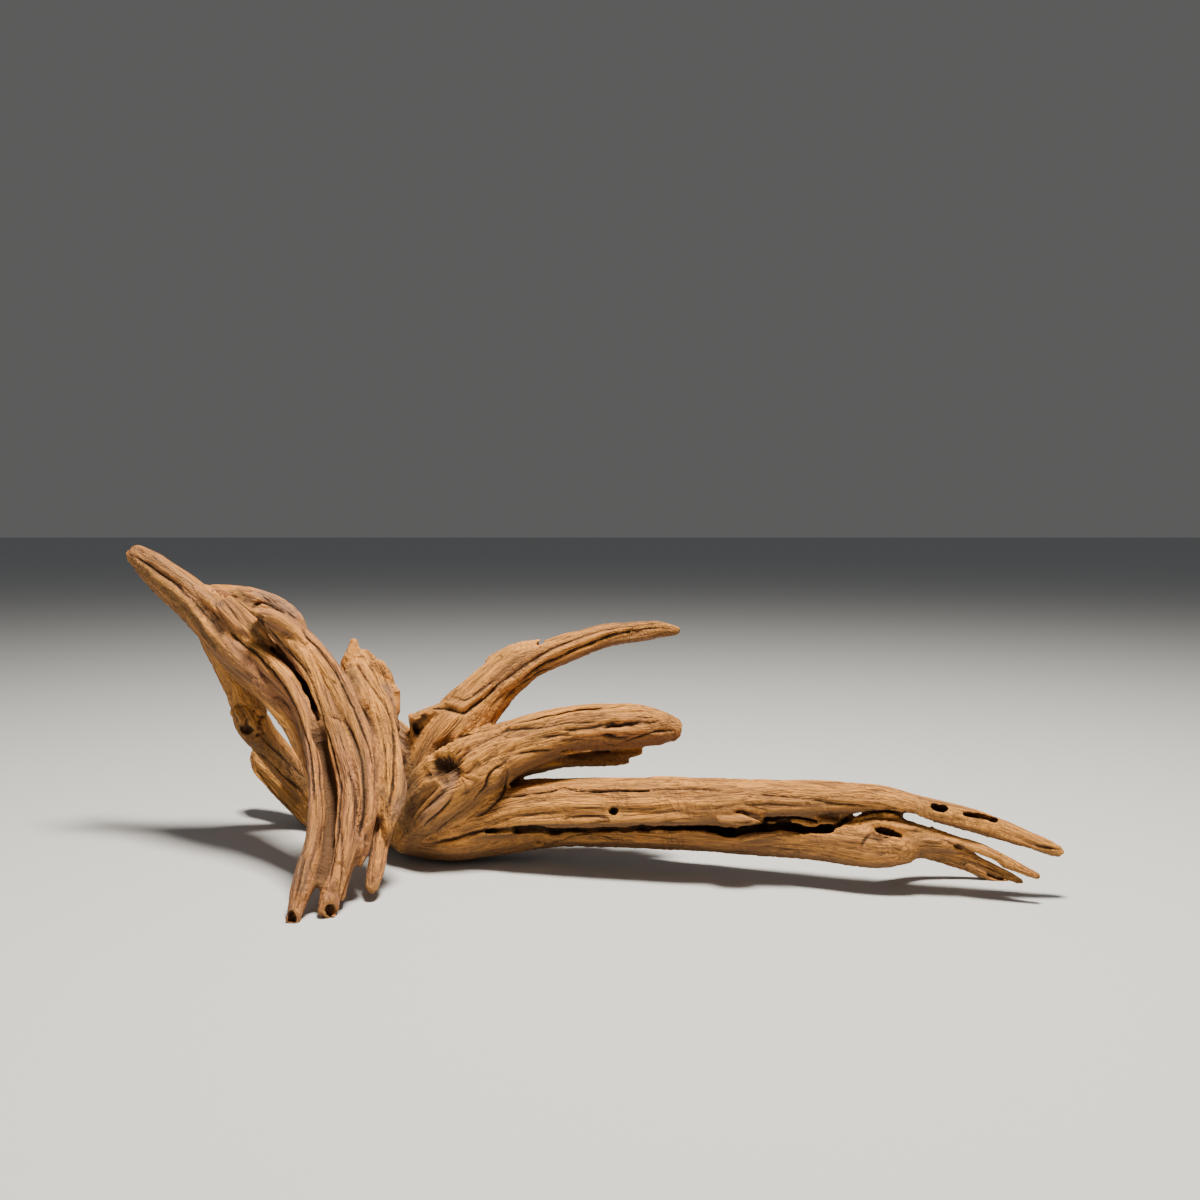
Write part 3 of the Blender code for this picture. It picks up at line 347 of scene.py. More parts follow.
# cracks and creases pressed into the surface: (half width mm, depth mm, pixels)
creases = {
    "hornGroove": (1.8, 2.2, [(132, 554), (137, 558), (143, 561.5), (150, 566), (158, 572), (166, 577),
        (174, 582.5), (180, 588), (185, 594), (191, 599)]),
    "hornGrooveLow": (2, 1.8, [(191, 599), (198, 606), (204, 613), (211, 620), (218, 630)]),
    "hornTick": (1.5, 1.4, [(219, 612), (223, 617.5), (228, 622)]),
    "hornLine": (1.5, 1, [(206, 605), (212, 611), (219, 620), (226, 628)]),
    "hornStreak": (1.6, 1, [(214, 588), (221, 596), (227, 605), (234, 615), (242, 626)]),
    "shoulderFold": (1.8, 1.8, [(229, 592), (236, 598), (244, 605), (252, 611.5), (258, 620)]),
    "plateLine": (1.6, 1.3, [(259, 590), (266, 598), (277, 606), (289, 613), (299, 621)]),
    "cordALine": (1.8, 2.3, [(228, 629), (236, 638), (243, 645), (252, 652), (262, 661), (272, 670),
        (281, 683), (290, 698), (297, 713), (303, 729), (308, 746), (311, 764), (313, 784), (314, 806)]),
    "cordASecond": (1.5, 1.3, [(237, 636), (245, 643), (254, 650), (263, 657), (273, 666)]),
    "nubTop": (1.8, 3.2, [(251, 610), (255, 605), (262, 602.5), (270, 605), (279, 610), (288, 615.5),
        (297, 621), (305, 627)]),
    "nubSide": (1.7, 2.8, [(256, 617), (262, 625), (268, 633), (274, 641), (280, 649)]),
    "footSlit": (1.4, 1.8, [(302, 863), (299.5, 869), (298.5, 876)]),
    "footPits": (1.2, 1.2, [(311, 864), (311.5, 876)]),
    "footPitsLow": (1.2, 1.2, [(301, 886), (300, 899)]),
    "nubFibre": (1.6, 1.6, [(266, 627), (275, 637), (285, 648), (296, 660), (305, 671), (312, 684),
        (317, 698), (321, 712), (324, 726)]),
    "nubFibreTwo": (1.4, 1.1, [(281, 640), (290, 649), (299, 659), (307, 669), (315, 681)]),
    "channelRight": (1.8, 2.2, [(324, 726), (329, 741), (332.5, 754), (336, 769), (339, 785), (339, 800),
        (337.5, 816), (337, 832), (334, 850), (331.5, 866), (329, 882)]),
    "channelLeft": (1.5, 1.2, [(318, 740), (319, 758), (320.5, 776), (322, 794), (323, 812), (322.5, 830),
        (320.5, 850)]),
    "bundleLineOne": (1.8, 2.4, [(303, 628.5), (309, 637), (319, 647), (329, 659), (338.5, 673),
        (346, 688), (353.5, 706), (360, 722), (365, 735), (370, 750), (373, 768), (373.5, 788)]),
    "bundleLineTwo": (1.8, 2.2, [(343, 716), (347, 727), (354, 742), (360, 756), (362.5, 770),
        (363.5, 786), (363, 802), (362, 820), (359, 838)]),
    "bundleLineThree": (1.5, 1.3, [(347, 769), (352, 782), (355, 797), (356, 813), (354, 832)]),
    "cordBFlaw": (1.4, 1, [(324, 713), (331, 717), (338, 720), (343, 726)]),
    "footTwoLine": (1.5, 1.3, [(340, 828), (342, 845), (342, 868), (340.5, 888), (338, 902)]),
    "footOneLine": (1.5, 1.5, [(305, 858), (302, 868), (299, 880), (296, 894), (293, 905)]),
    "strapSeam": (1.8, 1.8, [(341, 664), (347, 677), (356, 693), (365, 711), (372, 729), (375.5, 747),
        (376.5, 765), (376.5, 783), (375.5, 800), (376, 812)]),
    "strapLineOne": (1.7, 1.7, [(355, 661), (364, 675), (373, 688), (381, 699), (388, 711), (391.8, 722),
        (394, 736), (394.5, 751), (393.5, 772), (392, 790), (388, 808)]),
    "strapLineTwo": (1.4, 1, [(374, 708), (380, 726), (384, 746), (386, 768), (385, 788)]),
    "crestLine": (1.6, 1.5, [(366, 661), (373, 670), (379, 681), (383, 690), (388, 702)]),
    "crestLineTwo": (1.4, 1, [(375, 660), (382, 671), (387, 684), (392, 694)]),
    "armLineOne": (1.5, 1.6, [(484, 698), (492, 690), (501, 683), (511, 676), (521, 668.5), (531, 661.5),
        (541, 655.5), (551, 649.5), (561, 645), (571, 641), (581, 637), (591, 633.5), (603, 629.5),
        (618, 627.5)]),
    "armLineTwo": (1.7, 2.3, [(524, 678), (532, 672), (540, 667), (548, 662), (557, 658.5), (566, 654),
        (576, 649), (588, 644.5), (602, 638.5), (613, 634.5), (626, 631.8), (642, 630.5)]),
    "armLineThree": (1.4, 1.3, [(600, 631), (616, 628.5), (630, 626), (645, 624), (662, 622)]),
    "armLineFour": (1.5, 1.5, [(632, 632), (643, 629.5), (653, 628), (664, 628), (675, 629.5)]),
    "armLineFive": (1.6, 1.5, [(505, 700), (511, 693), (518, 687), (527, 681), (540, 672), (553, 667)]),
    "foldOne": (1.9, 2.4, [(427, 709.5), (433, 708), (441, 708.5), (450, 709.5), (457, 712), (465, 712.5),
        (472, 707), (479, 702), (487, 696), (497, 687.5)]),
    "foldTwo": (1.7, 1.7, [(450, 697), (457, 698), (463, 700), (470, 698), (478, 692), (487, 686),
        (498, 678)]),
    "armSeam": (2.2, 2.4, [(456, 738), (466, 735.5), (477, 732), (488, 728.5), (500, 724)]),
    "collarCrack": (1.7, 2.6, [(507, 762.5), (501, 765.5), (495, 769), (490, 774), (487.5, 780),
        (486.5, 786), (481, 793), (475, 800), (469, 806.5), (461, 812.5), (453, 818.5), (445, 824),
        (437, 831)]),
    "collarEdge": (1.7, 1.8, [(508, 770), (507.5, 780), (505, 789), (500, 797), (494, 804), (486, 811),
        (476, 817)]),
    "pinkLineOne": (1.4, 1.7, [(447, 789), (439, 796), (430, 804), (422, 812), (414, 822)]),
    "pinkLineTwo": (1.5, 1.7, [(454, 794), (448, 803), (440, 812), (430, 820), (420, 829)]),
    "pinkLineThree": (1.3, 1.2, [(440, 785), (431, 795), (422, 804), (412, 816)]),
    "hubScratch": (1.3, 1.3, [(425, 777), (418, 785), (411, 792)]),
    "hubTick": (1.4, 1.6, [(420, 803), (424, 799)]),
    "middleArmLine": (1.4, 1.3, [(500, 731.5), (512, 730), (525, 728.5), (540, 727.5), (555, 725),
        (566, 722.8), (580, 723.3), (597, 722)]),
    "middleArmTop": (1.9, 3.6, [(512, 723.5), (522, 721.3), (532, 718.8), (542, 716.3), (555, 713.5),
        (565, 711.2), (575, 709.5), (587, 708.3), (603, 707.5)]),
    "hubLedge": (2.2, 3, [(430, 845), (442, 841), (456, 838), (470, 834), (486, 830.5), (500, 829)]),
    "tongueLine": (1.2, 1.2, [(733, 822), (745, 822.5), (758, 820)]),
    "armEdge": (1.6, 1.8, [(513, 757), (520, 753.5), (530, 752), (542, 751), (556, 750.5)]),
    "armFlank": (1.3, 1.2, [(560, 742), (576, 740), (592, 740.5)]),
    "armFlankTwo": (1.3, 1.2, [(540, 738), (556, 735.5), (574, 735)]),
    "middleArmSide": (1.5, 1.5, [(560, 730.5), (572, 730), (582, 729), (593, 728), (603, 725), (612, 723),
        (622, 721)]),
    "middleArmRun": (1.3, 1.2, [(634, 719.5), (645, 718), (658, 716.5)]),
    "middleArmTip": (1.3, 1.2, [(644, 724), (655, 722), (667, 720.5)]),
    "middleArmEdge": (1.7, 1.9, [(620, 744), (630, 741), (640, 737.5), (650, 733.5), (660, 731),
        (674, 730.5)]),
    "topCrack": (1.6, 2.2, [(504, 797), (516, 796.3), (530, 794.5), (543, 792.5), (551, 791), (558, 788),
        (563, 786.5), (569, 788.3), (578, 790.5)]),
    "topCrackMiddle": (1.8, 3, [(572, 790), (582, 791), (600, 791), (620, 790), (640, 790.3),
        (656, 789.3)]),
    "topCrackRun": (1.3, 1.3, [(650, 789.6), (668, 789), (686, 788.7), (704, 789.3), (724, 791.5)]),
    "limbCrease": (1.3, 1.2, [(756, 794.5), (777, 796), (800, 798.5), (818, 800.5), (834, 803.5),
        (852, 805), (868, 807)]),
    "backLimbLine": (1.8, 2, [(252, 748), (262, 757), (274, 768), (286, 779), (300, 790)]),
    "backLimbLineTwo": (1.6, 1.4, [(262, 738), (274, 750), (288, 763), (302, 776)]),
    "rootLine": (1.7, 1.6, [(256, 770), (266, 784), (278, 798), (292, 812)]),
    "bulgeLine": (1.4, 1.2, [(905, 831), (914, 831.7), (924, 833.5)]),
    "bulgeSweep": (1.6, 1.6, [(875, 830), (869, 835), (864, 841), (861, 849)]),
    "fingerTop": (1.5, 1.4, [(936, 837), (946, 841), (956, 846), (966, 850)]),
    "fingerLine": (1.3, 1.2, [(975, 862), (986, 867), (997, 872), (1008, 878)]),
    "tipSplit": (1.5, 2.6, [(1039, 846.3), (1047, 847.7), (1055, 848.7), (1063, 849.8)]),
    "armSideCrack": (1.9, 3.4, [(600, 729.5), (606, 728), (611, 725.8), (619, 726), (626, 724),
        (633, 723.6), (641, 721.5)]),
    "armPitRun": (1.6, 2, [(597, 736), (605, 735), (612, 738), (621, 738.5), (630, 737)]),
    "armPitLow": (1.5, 1.8, [(602, 741), (607, 745), (613, 746), (619, 749)]),
    "lipCrack": (1.8, 2.8, [(430, 753), (435, 750), (441, 746.8), (447, 743.8), (453, 741.5)]),
}

# bowls worn round a knot: (half width mm, half height mm, depth mm, ridges, ridge height mm, pixel)
knots = {
    "hubKnot": (11, 8.5, 7, 19, 0.6, (446, 767)),
    "hubKnotSide": (3.5, 3.6, 2.2, 9, 0.5, (430, 776)),
    "bulgeKnot": (10, 5.6, 1.6, 14, 0.3, (884, 836)),
    "backKnotHollow": (6, 5, 1.6, 5, 0.8, (247, 729)),
    "spurPit": (3, 2.4, 1.8, 5, 0.3, (424, 717)),
    "armPit": (4.6, 2.2, 3.4, 3, 0.4, (608, 736)),
}

# worn places with sand in them, and the plate under the middle arm, painted dark as shade: (half width
# mm, pixels)
sandAndShadePlaces = {
    "channel": (4, [(314, 722), (320, 744), (325, 762), (328, 780), (331, 798), (331, 816), (330, 834),
        (328, 852), (324, 870), (320, 884)]),
    "cordBHollow": (2, [(354, 742), (361, 756), (364, 772), (365, 790), (364, 812)]),
    "hubHollow": (8, [(409, 772), (411, 790), (408, 812), (408, 828)]),
    "hornBelly": (4.5, [(140, 566), (156, 580), (172, 594), (188, 610), (201, 628), (213, 648)]),
    "hornRecess": (2.6, [(197, 603), (205, 612), (213, 622), (221, 635)]),
    "backLimbLow": (7, [(250, 735), (268, 752), (286, 768), (304, 783)]),
    "nubRoot": (2.5, [(250, 625), (258, 638), (267, 650)]),
    "shoulderHollow": (3.6, [(238, 592), (246, 599), (254, 605)]),
    "strapPatch": (2.2, [(382, 792), (386, 797), (388, 803)]),
    "crestSide": (3.5, [(349, 668), (353, 676), (358, 687)]),
    "spurHollow": (3, [(412, 724), (416, 734)]),
    # painted shade: the plate is darkened where the middle arm shades it
    "plate": (4, [(560, 757), (580, 757), (604, 757), (632, 757)]),
}

# paler, greyer stretches where the outer skin is left; on the shoulder plate the grey is also painted
# shade: (half width mm, pixels)
greySkinAndShadePlaces = {
    "strapEdge": (4, [(386, 688), (395, 712), (401, 740), (404, 768), (403, 795), (396, 815)]),
    # grey skin, and painted shade on the shoulder plate behind the nub
    "shoulderPlate": (6, [(264, 594), (277, 601), (291, 612)]),
    "cordARidge": (2, [(296, 716), (303, 738), (307, 764), (309, 800), (303, 845), (292, 885)]),
    "footEdge": (1.8, [(313, 830), (311, 848), (306, 868), (302, 888)]),
    "hornTop": (2.2, [(154, 556), (176, 572), (200, 591), (222, 606)]),
    "hubPink": (3.6, [(452, 778), (446, 792), (436, 806), (424, 820)]),
}


def splinePoints(points, placeSize, spacing):
    # a smooth Catmull-Rom line through the points, with samples about spacing apart; the first
    # placeSize numbers of a point are its place
    fixed = np.array(points, float)
    padded = np.vstack([fixed[:1], fixed, fixed[-1:]])
    rows = []
    for a, b, c, d in zip(padded, padded[1:], padded[2:], padded[3:]):
        reach = np.linalg.norm((c - b)[:placeSize])
        count = max(2, round(reach / spacing))
        t = (np.arange(count) / count)[:, None]
        rows.append(0.5 * (2 * b + (c - a) * t + (2 * a - 5 * b + 4 * c - d) * t ** 2
                           + (3 * b - a - 3 * c + d) * t ** 3))
    return np.vstack([*rows, fixed[-1:]])


def unit(vectors):
    return vectors / np.maximum(np.linalg.norm(vectors, axis=-1, keepdims=True), 1e-9)


def smoothStep(low, high, values):
    t = np.clip((values - low) / (high - low), 0, 1)
    return t * t * (3 - 2 * t)


def strandRings(stations, facing):
    # rows of centre, tangent, half sizes and distance along, the wide and thick directions of
    # each ring, and the tips of the two rounded ends
    samples = splinePoints(stations, 3, wood["ringSpacing"])
    centre = samples[:, :3]
    tangent = unit(np.gradient(centre, axis=0))
    along = np.concatenate([[0], np.cumsum(np.linalg.norm(np.diff(centre, axis=0), axis=1))])
    rings = np.column_stack([centre, tangent, samples[:, 3:5], along])
    caps, tips = [], []
    for row, sign in ((rings[0], -1), (rings[-1], 1)):
        reach = row[3:6] * (row[6:8].min() * wood["capReach"] * sign)
        cap = []
        for share, size in wood["capRings"]:
            ring = row.copy()
            ring[:3] += reach * share
            ring[6:8] *= size
            cap.append(ring)
        caps.append(cap)
        tips.append(row[:3] + reach)
    rings = np.vstack([caps[0][::-1], rings, caps[1]])
    facing = np.array(facing)
    thick = unit(facing - rings[:, 3:6] * (rings[:, 3:6] @ facing)[:, None])
    return rings, np.cross(rings[:, 3:6], thick), thick, tips


def tubeFaces(count, sides):
    # the sides of a tube, and a fan at each end to the two tips that follow its rings
    faces = []
    last, firstTip = (count - 1) * sides, count * sides
    for k in range(sides):
        j = (k + 1) % sides
        for a in range(0, last, sides):
            faces.append((a + k, a + j, a + sides + j, a + sides + k))
        faces.append((j, k, firstTip))
        faces.append((last + k, last + j, firstTip + 1))
    return faces


def loftStrand(number, facing, flute, stations):
    # the vertices and faces of one closed tube, and the grain's frame at each vertex
    rng = random.Random(wood["seed"] + number)
    drift = wood["fluteDrift"]
    waves = [(n, rng.uniform(0, math.tau), rng.uniform(-drift, drift)) for n in wood["fluteWaves"]]
    rings, wide, thick, tips = strandRings(stations, facing)
    sides, count = wood["ringSides"], len(rings)
    angle = np.arange(sides) * math.tau / sides
    swell = np.ones((count, sides))
    for n, phase, drift in waves:
        swell += flute * np.sin(n * angle[None] + phase + drift * rings[:, 8:9])
    across = rings[:, 6:7] * swell * np.cos(angle)
    through = rings[:, 7:8] * swell * np.sin(angle)
    points = (rings[:, None, :3] + wide[:, None] * across[..., None]
              + thick[:, None] * through[..., None])
    ringOf = np.concatenate([np.repeat(np.arange(count), sides), [0, count - 1]])
    frames = np.column_stack([rings[:, :3], wide, thick, rings[:, 3:6], rings[:, 8]])
    return np.vstack([points.reshape(-1, 3), tips]), tubeFaces(count, sides), frames[ringOf]


def gathered(tubes):
    # the vertices and faces of several tubes as those of one mesh
    faces, first = [], 0
    for verts, own in tubes:
        faces += [[i + first for i in face] for face in own]
        first += len(verts)
    return np.vstack([verts for verts, own in tubes]), faces


def newMesh(name, verts, faces):
    mesh = bpy.data.meshes.new(name)
    mesh.from_pydata(np.asarray(verts).tolist(), [], faces)
    mesh.update()
    return mesh


def newObject(name, data):
    obj = bpy.data.objects.new(name, data)
    bpy.context.scene.collection.objects.link(obj)
    return obj


def applyModifiers(obj):
    graph = bpy.context.evaluated_depsgraph_get()
    mesh = bpy.data.meshes.new_from_object(obj.evaluated_get(graph))
    obj.modifiers.clear()
    old = obj.data
    obj.data = mesh
    bpy.data.meshes.remove(old)


def remesh(obj, cell, rounds):
    fuse = obj.modifiers.new("fuse", "REMESH")
    fuse.mode = "VOXEL"
    fuse.voxel_size = cell
    soften = obj.modifiers.new("soften", "SMOOTH")
    soften.factor = 0.5
    soften.iterations = rounds
    applyModifiers(obj)


def fieldOf(items, field, size, kind=np.float32):
    found = np.zeros(len(items) * size, kind)
    items.foreach_get(field, found)
    return found.reshape(-1, size)


def pointsOf(mesh):
    return fieldOf(mesh.vertices, "co", 3).astype(float)


def edgesOf(mesh):
    return fieldOf(mesh.edges, "vertices", 2, np.int32)


def dropCrumbs(mesh):
    # cutting can leave a crumb loose, so only the largest island of the mesh stays
    edges = edgesOf(mesh)
    label, last = np.arange(len(mesh.vertices)), None
    while not np.array_equal(label, last):
        last = label.copy()
        low = last[edges].min(axis=1)
        for end in (0, 1):
            np.minimum.at(label, edges[:, end], low)
        label = label[label]
    kept = np.bincount(label).argmax()
    work = bmesh.new()
    work.from_mesh(mesh)
    loose = [v for v in work.verts if label[v.index] != kept]
    bmesh.ops.delete(work, geom=loose, context="VERTS")
    work.to_mesh(mesh)
    work.free()
    print("loose vertices dropped", len(loose))


def surfaceTree(mesh):
    return BVHTree.FromPolygons(pointsOf(mesh).tolist(), [p.vertices[:] for p in mesh.polygons])


def sightLine(x, y):
    # unit direction from the camera through a pixel of its frame
    tilt = math.radians(view["downward"])
    side = view["frameSide"]
    forward = Vector((0, math.cos(tilt), -math.sin(tilt))) * (view["lens"] / view["sensor"])
    upward = Vector((0, math.sin(tilt), math.cos(tilt)))
    line = forward + Vector((1, 0, 0)) * ((x - side / 2) / side) + upward * ((side / 2 - y) / side)
    return line.normalized()


def marked(tree, pixels, spacing):
    # places on the wood under a line of pixels, and the sight line to each; misses are skipped
    eye = Vector(view["place"])
    found = []
    for x, y in splinePoints(pixels, 2, spacing):
        line = sightLine(x, y)
        hit = tree.ray_cast(eye, line)[0]
        if hit is not None:
            found.append((hit, line))
    return found


def placedByPixel(stations):
    # stations given as (pixel x, pixel y, y in mm, half sizes) become (x, y, z, half sizes)
    eye = Vector(view["place"])
    found = []
    for x, y, depth, *half in stations:
        line = sightLine(x, y)
        found.append((*(eye + line * ((depth - eye.y) / line.y)), *half))
    return found


cutting = {
    "spacing": 1.8,                     # pixels between the rings of a cutter
    "sides": 14,
    "depthShare": 0.34,                 # where a cutter's middle lies, as a share of the gap's depth
    "heightShare": 0.66,                # its half height, as a share of the gap's depth
    "endRings": (2.0, 0.8),             # rings of a tapered end, and more for each mm of half width
    "widthNoise": (8, 0.35),            # mm in which the width changes, and by what share of it
    "sideNoise": (7, 0.5),              # mm in which the line sways, and by what share of the width
    "cell": 0.7,                        # mm, remesh that joins the cutters
}


def slotCutter(tree, halfWidth, depth, pixels):
    # a flat tube that follows the marked line and reaches into the wood
    found = marked(tree, pixels, cutting["spacing"])
    centre = np.array([hit + line * (depth * cutting["depthShare"]) for hit, line in found])
    inward = np.array([line for hit, line in found])
    run = unit(np.gradient(centre, axis=0))
    sideways = unit(np.cross(run, inward))
    sides = cutting["sides"]
    angle = np.arange(sides) * math.tau / sides
    step = np.arange(len(centre))
    endRings = cutting["endRings"][0] + halfWidth * cutting["endRings"][1]
    endRings = min(endRings, (len(centre) + 1) / 2)
    size = np.clip((np.minimum(step, step[::-1]) + 1.0) / endRings, 0, 1)
    length, share = cutting["widthNoise"]
    size *= 1 + share * noiseAt(centre / length)
    length, share = cutting["sideNoise"]
    centre = centre + sideways * (halfWidth * share * noiseAt(centre / length + 40))[:, None]
    ring = (centre[:, None] + sideways[:, None] * (np.cos(angle)[None, :, None] * halfWidth)
            * size[:, None, None]
            + inward[:, None] * (np.sin(angle)[None, :, None] * depth * cutting["heightShare"])
            * size[:, None, None])
    tips = [centre[0] - run[0] * halfWidth, centre[-1] + run[-1] * halfWidth]
    return np.vstack([ring.reshape(-1, 3), tips]), tubeFaces(len(centre), sides)


def carveSlots(obj):
    # every gap is cut out of the fused strands
    tree = surfaceTree(obj.data)
    cutters = [slotCutter(tree, *row) for row in slots.values()]
    cutter = newObject("gaps", newMesh("gaps", *gathered(cutters)))
    remesh(cutter, cutting["cell"], 1)
    cut = obj.modifiers.new("gaps", "BOOLEAN")
    cut.operation = "DIFFERENCE"
    cut.solver = "MANIFOLD"
    cut.object = cutter
    applyModifiers(obj)
    bpy.data.objects.remove(cutter)


def smoothed(values, edges, count, rounds):
    # repeated averages over the mesh's edges
    degree = np.maximum(np.bincount(edges.ravel(), minlength=count), 1)
    single = values.ndim == 1
    current = values[:, None] if single else values
    for _ in range(rounds):
        total = np.column_stack([
            np.bincount(edges[:, 0], column[edges[:, 1]], count)
            + np.bincount(edges[:, 1], column[edges[:, 0]], count) for column in current.T])
        current = 0.5 * current + 0.5 * total / degree[:, None]
    return current[:, 0] if single else current


def noiseAt(points):
    return np.array([noise.noise(p) for p in points.tolist()])


def nearest(places, points):
    # for each point, the number of the nearest place and its distance
    tree = kdtree.KDTree(len(places))
    for i, place in enumerate(places.tolist()):
        tree.insert(place, i)
    tree.balance()
    found = [tree.find(p)[1:] for p in points.tolist()]
    return np.array([f[0] for f in found]), np.array([f[1] for f in found])


def nearMarks(surface, points, table):
    # for each point, the nearest marked line of the table: its distance, signed by the side it
    # lies on, how far from the line's ends it is, from 0 to 1, and the row's half width and height
    rows = list(table.values())
    hits, number, ends, sideways = [], [], [], []
    for n, row in enumerate(rows):
        found = marked(surface, row[-1], grainRun["markSpacing"])
        place = np.array([hit for hit, line in found])
        run = unit(np.gradient(place, axis=0))
        hits.append(place)
        sideways.append(unit(np.cross(run, np.array([line for hit, line in found]))))
        number += [n] * len(found)
        step = np.arange(len(found))
        ends.append(np.clip(np.minimum(step, step[::-1]) / grainRun["endMarks"], 0, 1))
    hits = np.vstack(hits)
    index, distance = nearest(hits, points)
    side = ((points - hits[index]) * np.vstack(sideways)[index]).sum(1)
    rowOf = np.array(number)[index]
    columns = [np.array([row[k] for row in rows])[rowOf] for k in (0, -2)]
    return distance * np.sign(side), np.concatenate(ends)[index], *columns


def grainOf(points, lofts):
    # (across, through, along) in mm for each point, and the number of the strand that it lies on
    verts, frames = (np.vstack([loft[k] for loft in lofts]) for k in (0, 2))
    strandNumber = np.repeat(np.arange(len(lofts)), [len(loft[0]) for loft in lofts])
    index, _ = nearest(verts, points)
    frame = frames[index]
    offset = points - frame[:, :3]
    across, through, along = [(offset * frame[:, k:k + 3]).sum(1) for k in (3, 6, 9)]
    return np.column_stack([across, through, along + frame[:, 12]]), strandNumber[index]


def crease(values):
    # round ridges with a sharp valley where the noise crosses zero
    return np.minimum(np.abs(values) * 2.2, 1.0)


def pressKnots(surface, points, height, dark):
    # a bowl at each knot, with a comb of fibres round it, and painted shade in the bowl
    for halfWide, halfHigh, bowl, ridges, ridgeHeight, pixel in knots.values():
        hit, line = marked(surface, [pixel, (pixel[0] + 1, pixel[1])], grainRun["markSpacing"])[0]
        offset = points - np.array(hit)
        rise = unit(np.cross([1.0, 0, 0], np.array(line)))
        dx, dz = offset[:, 0], offset @ rise
        reach = np.sqrt((dx / halfWide) ** 2 + (dz / halfHigh) ** 2)
        reach *= 1 + 0.4 * noiseAt(points / 6 + 15)     # the bowl's rim isn't a true ellipse
        near = (np.linalg.norm(offset, axis=1) < max(halfWide, halfHigh) * 2.2) & (reach < 2.6)
        fall = np.clip(1 - reach ** 2, 0, 1) ** 1.3 * near
        turn = np.arctan2(dz, dx)
        comb = np.sin(turn * ridges + 9 * noiseAt(points / 8 + 5))
        combReach = reach * (1 - 0.3 * np.cos(turn))    # the fibres run out further to the right
        comb *= smoothStep(1.9, 0.9, combReach) * smoothStep(0.1, 0.5, reach) * near
        comb *= smoothStep(-0.9, 0.5, np.cos(turn - 0.7))   # and fade at the lower left
        height -= fall * bowl
        height += comb * ridgeHeight
        shade = reach + comb * 0.25 + 0.3 * noiseAt(points / 2.6 + 60)
        # painted shade in the bowl, lighter when the bowl is shallow
        depthShare = min(1, bowl / 5) * 0.88            # a shallow bowl stays lighter
        dark[:] = np.maximum(dark, smoothStep(0.85, 0.3, shade) * near * depthShare)


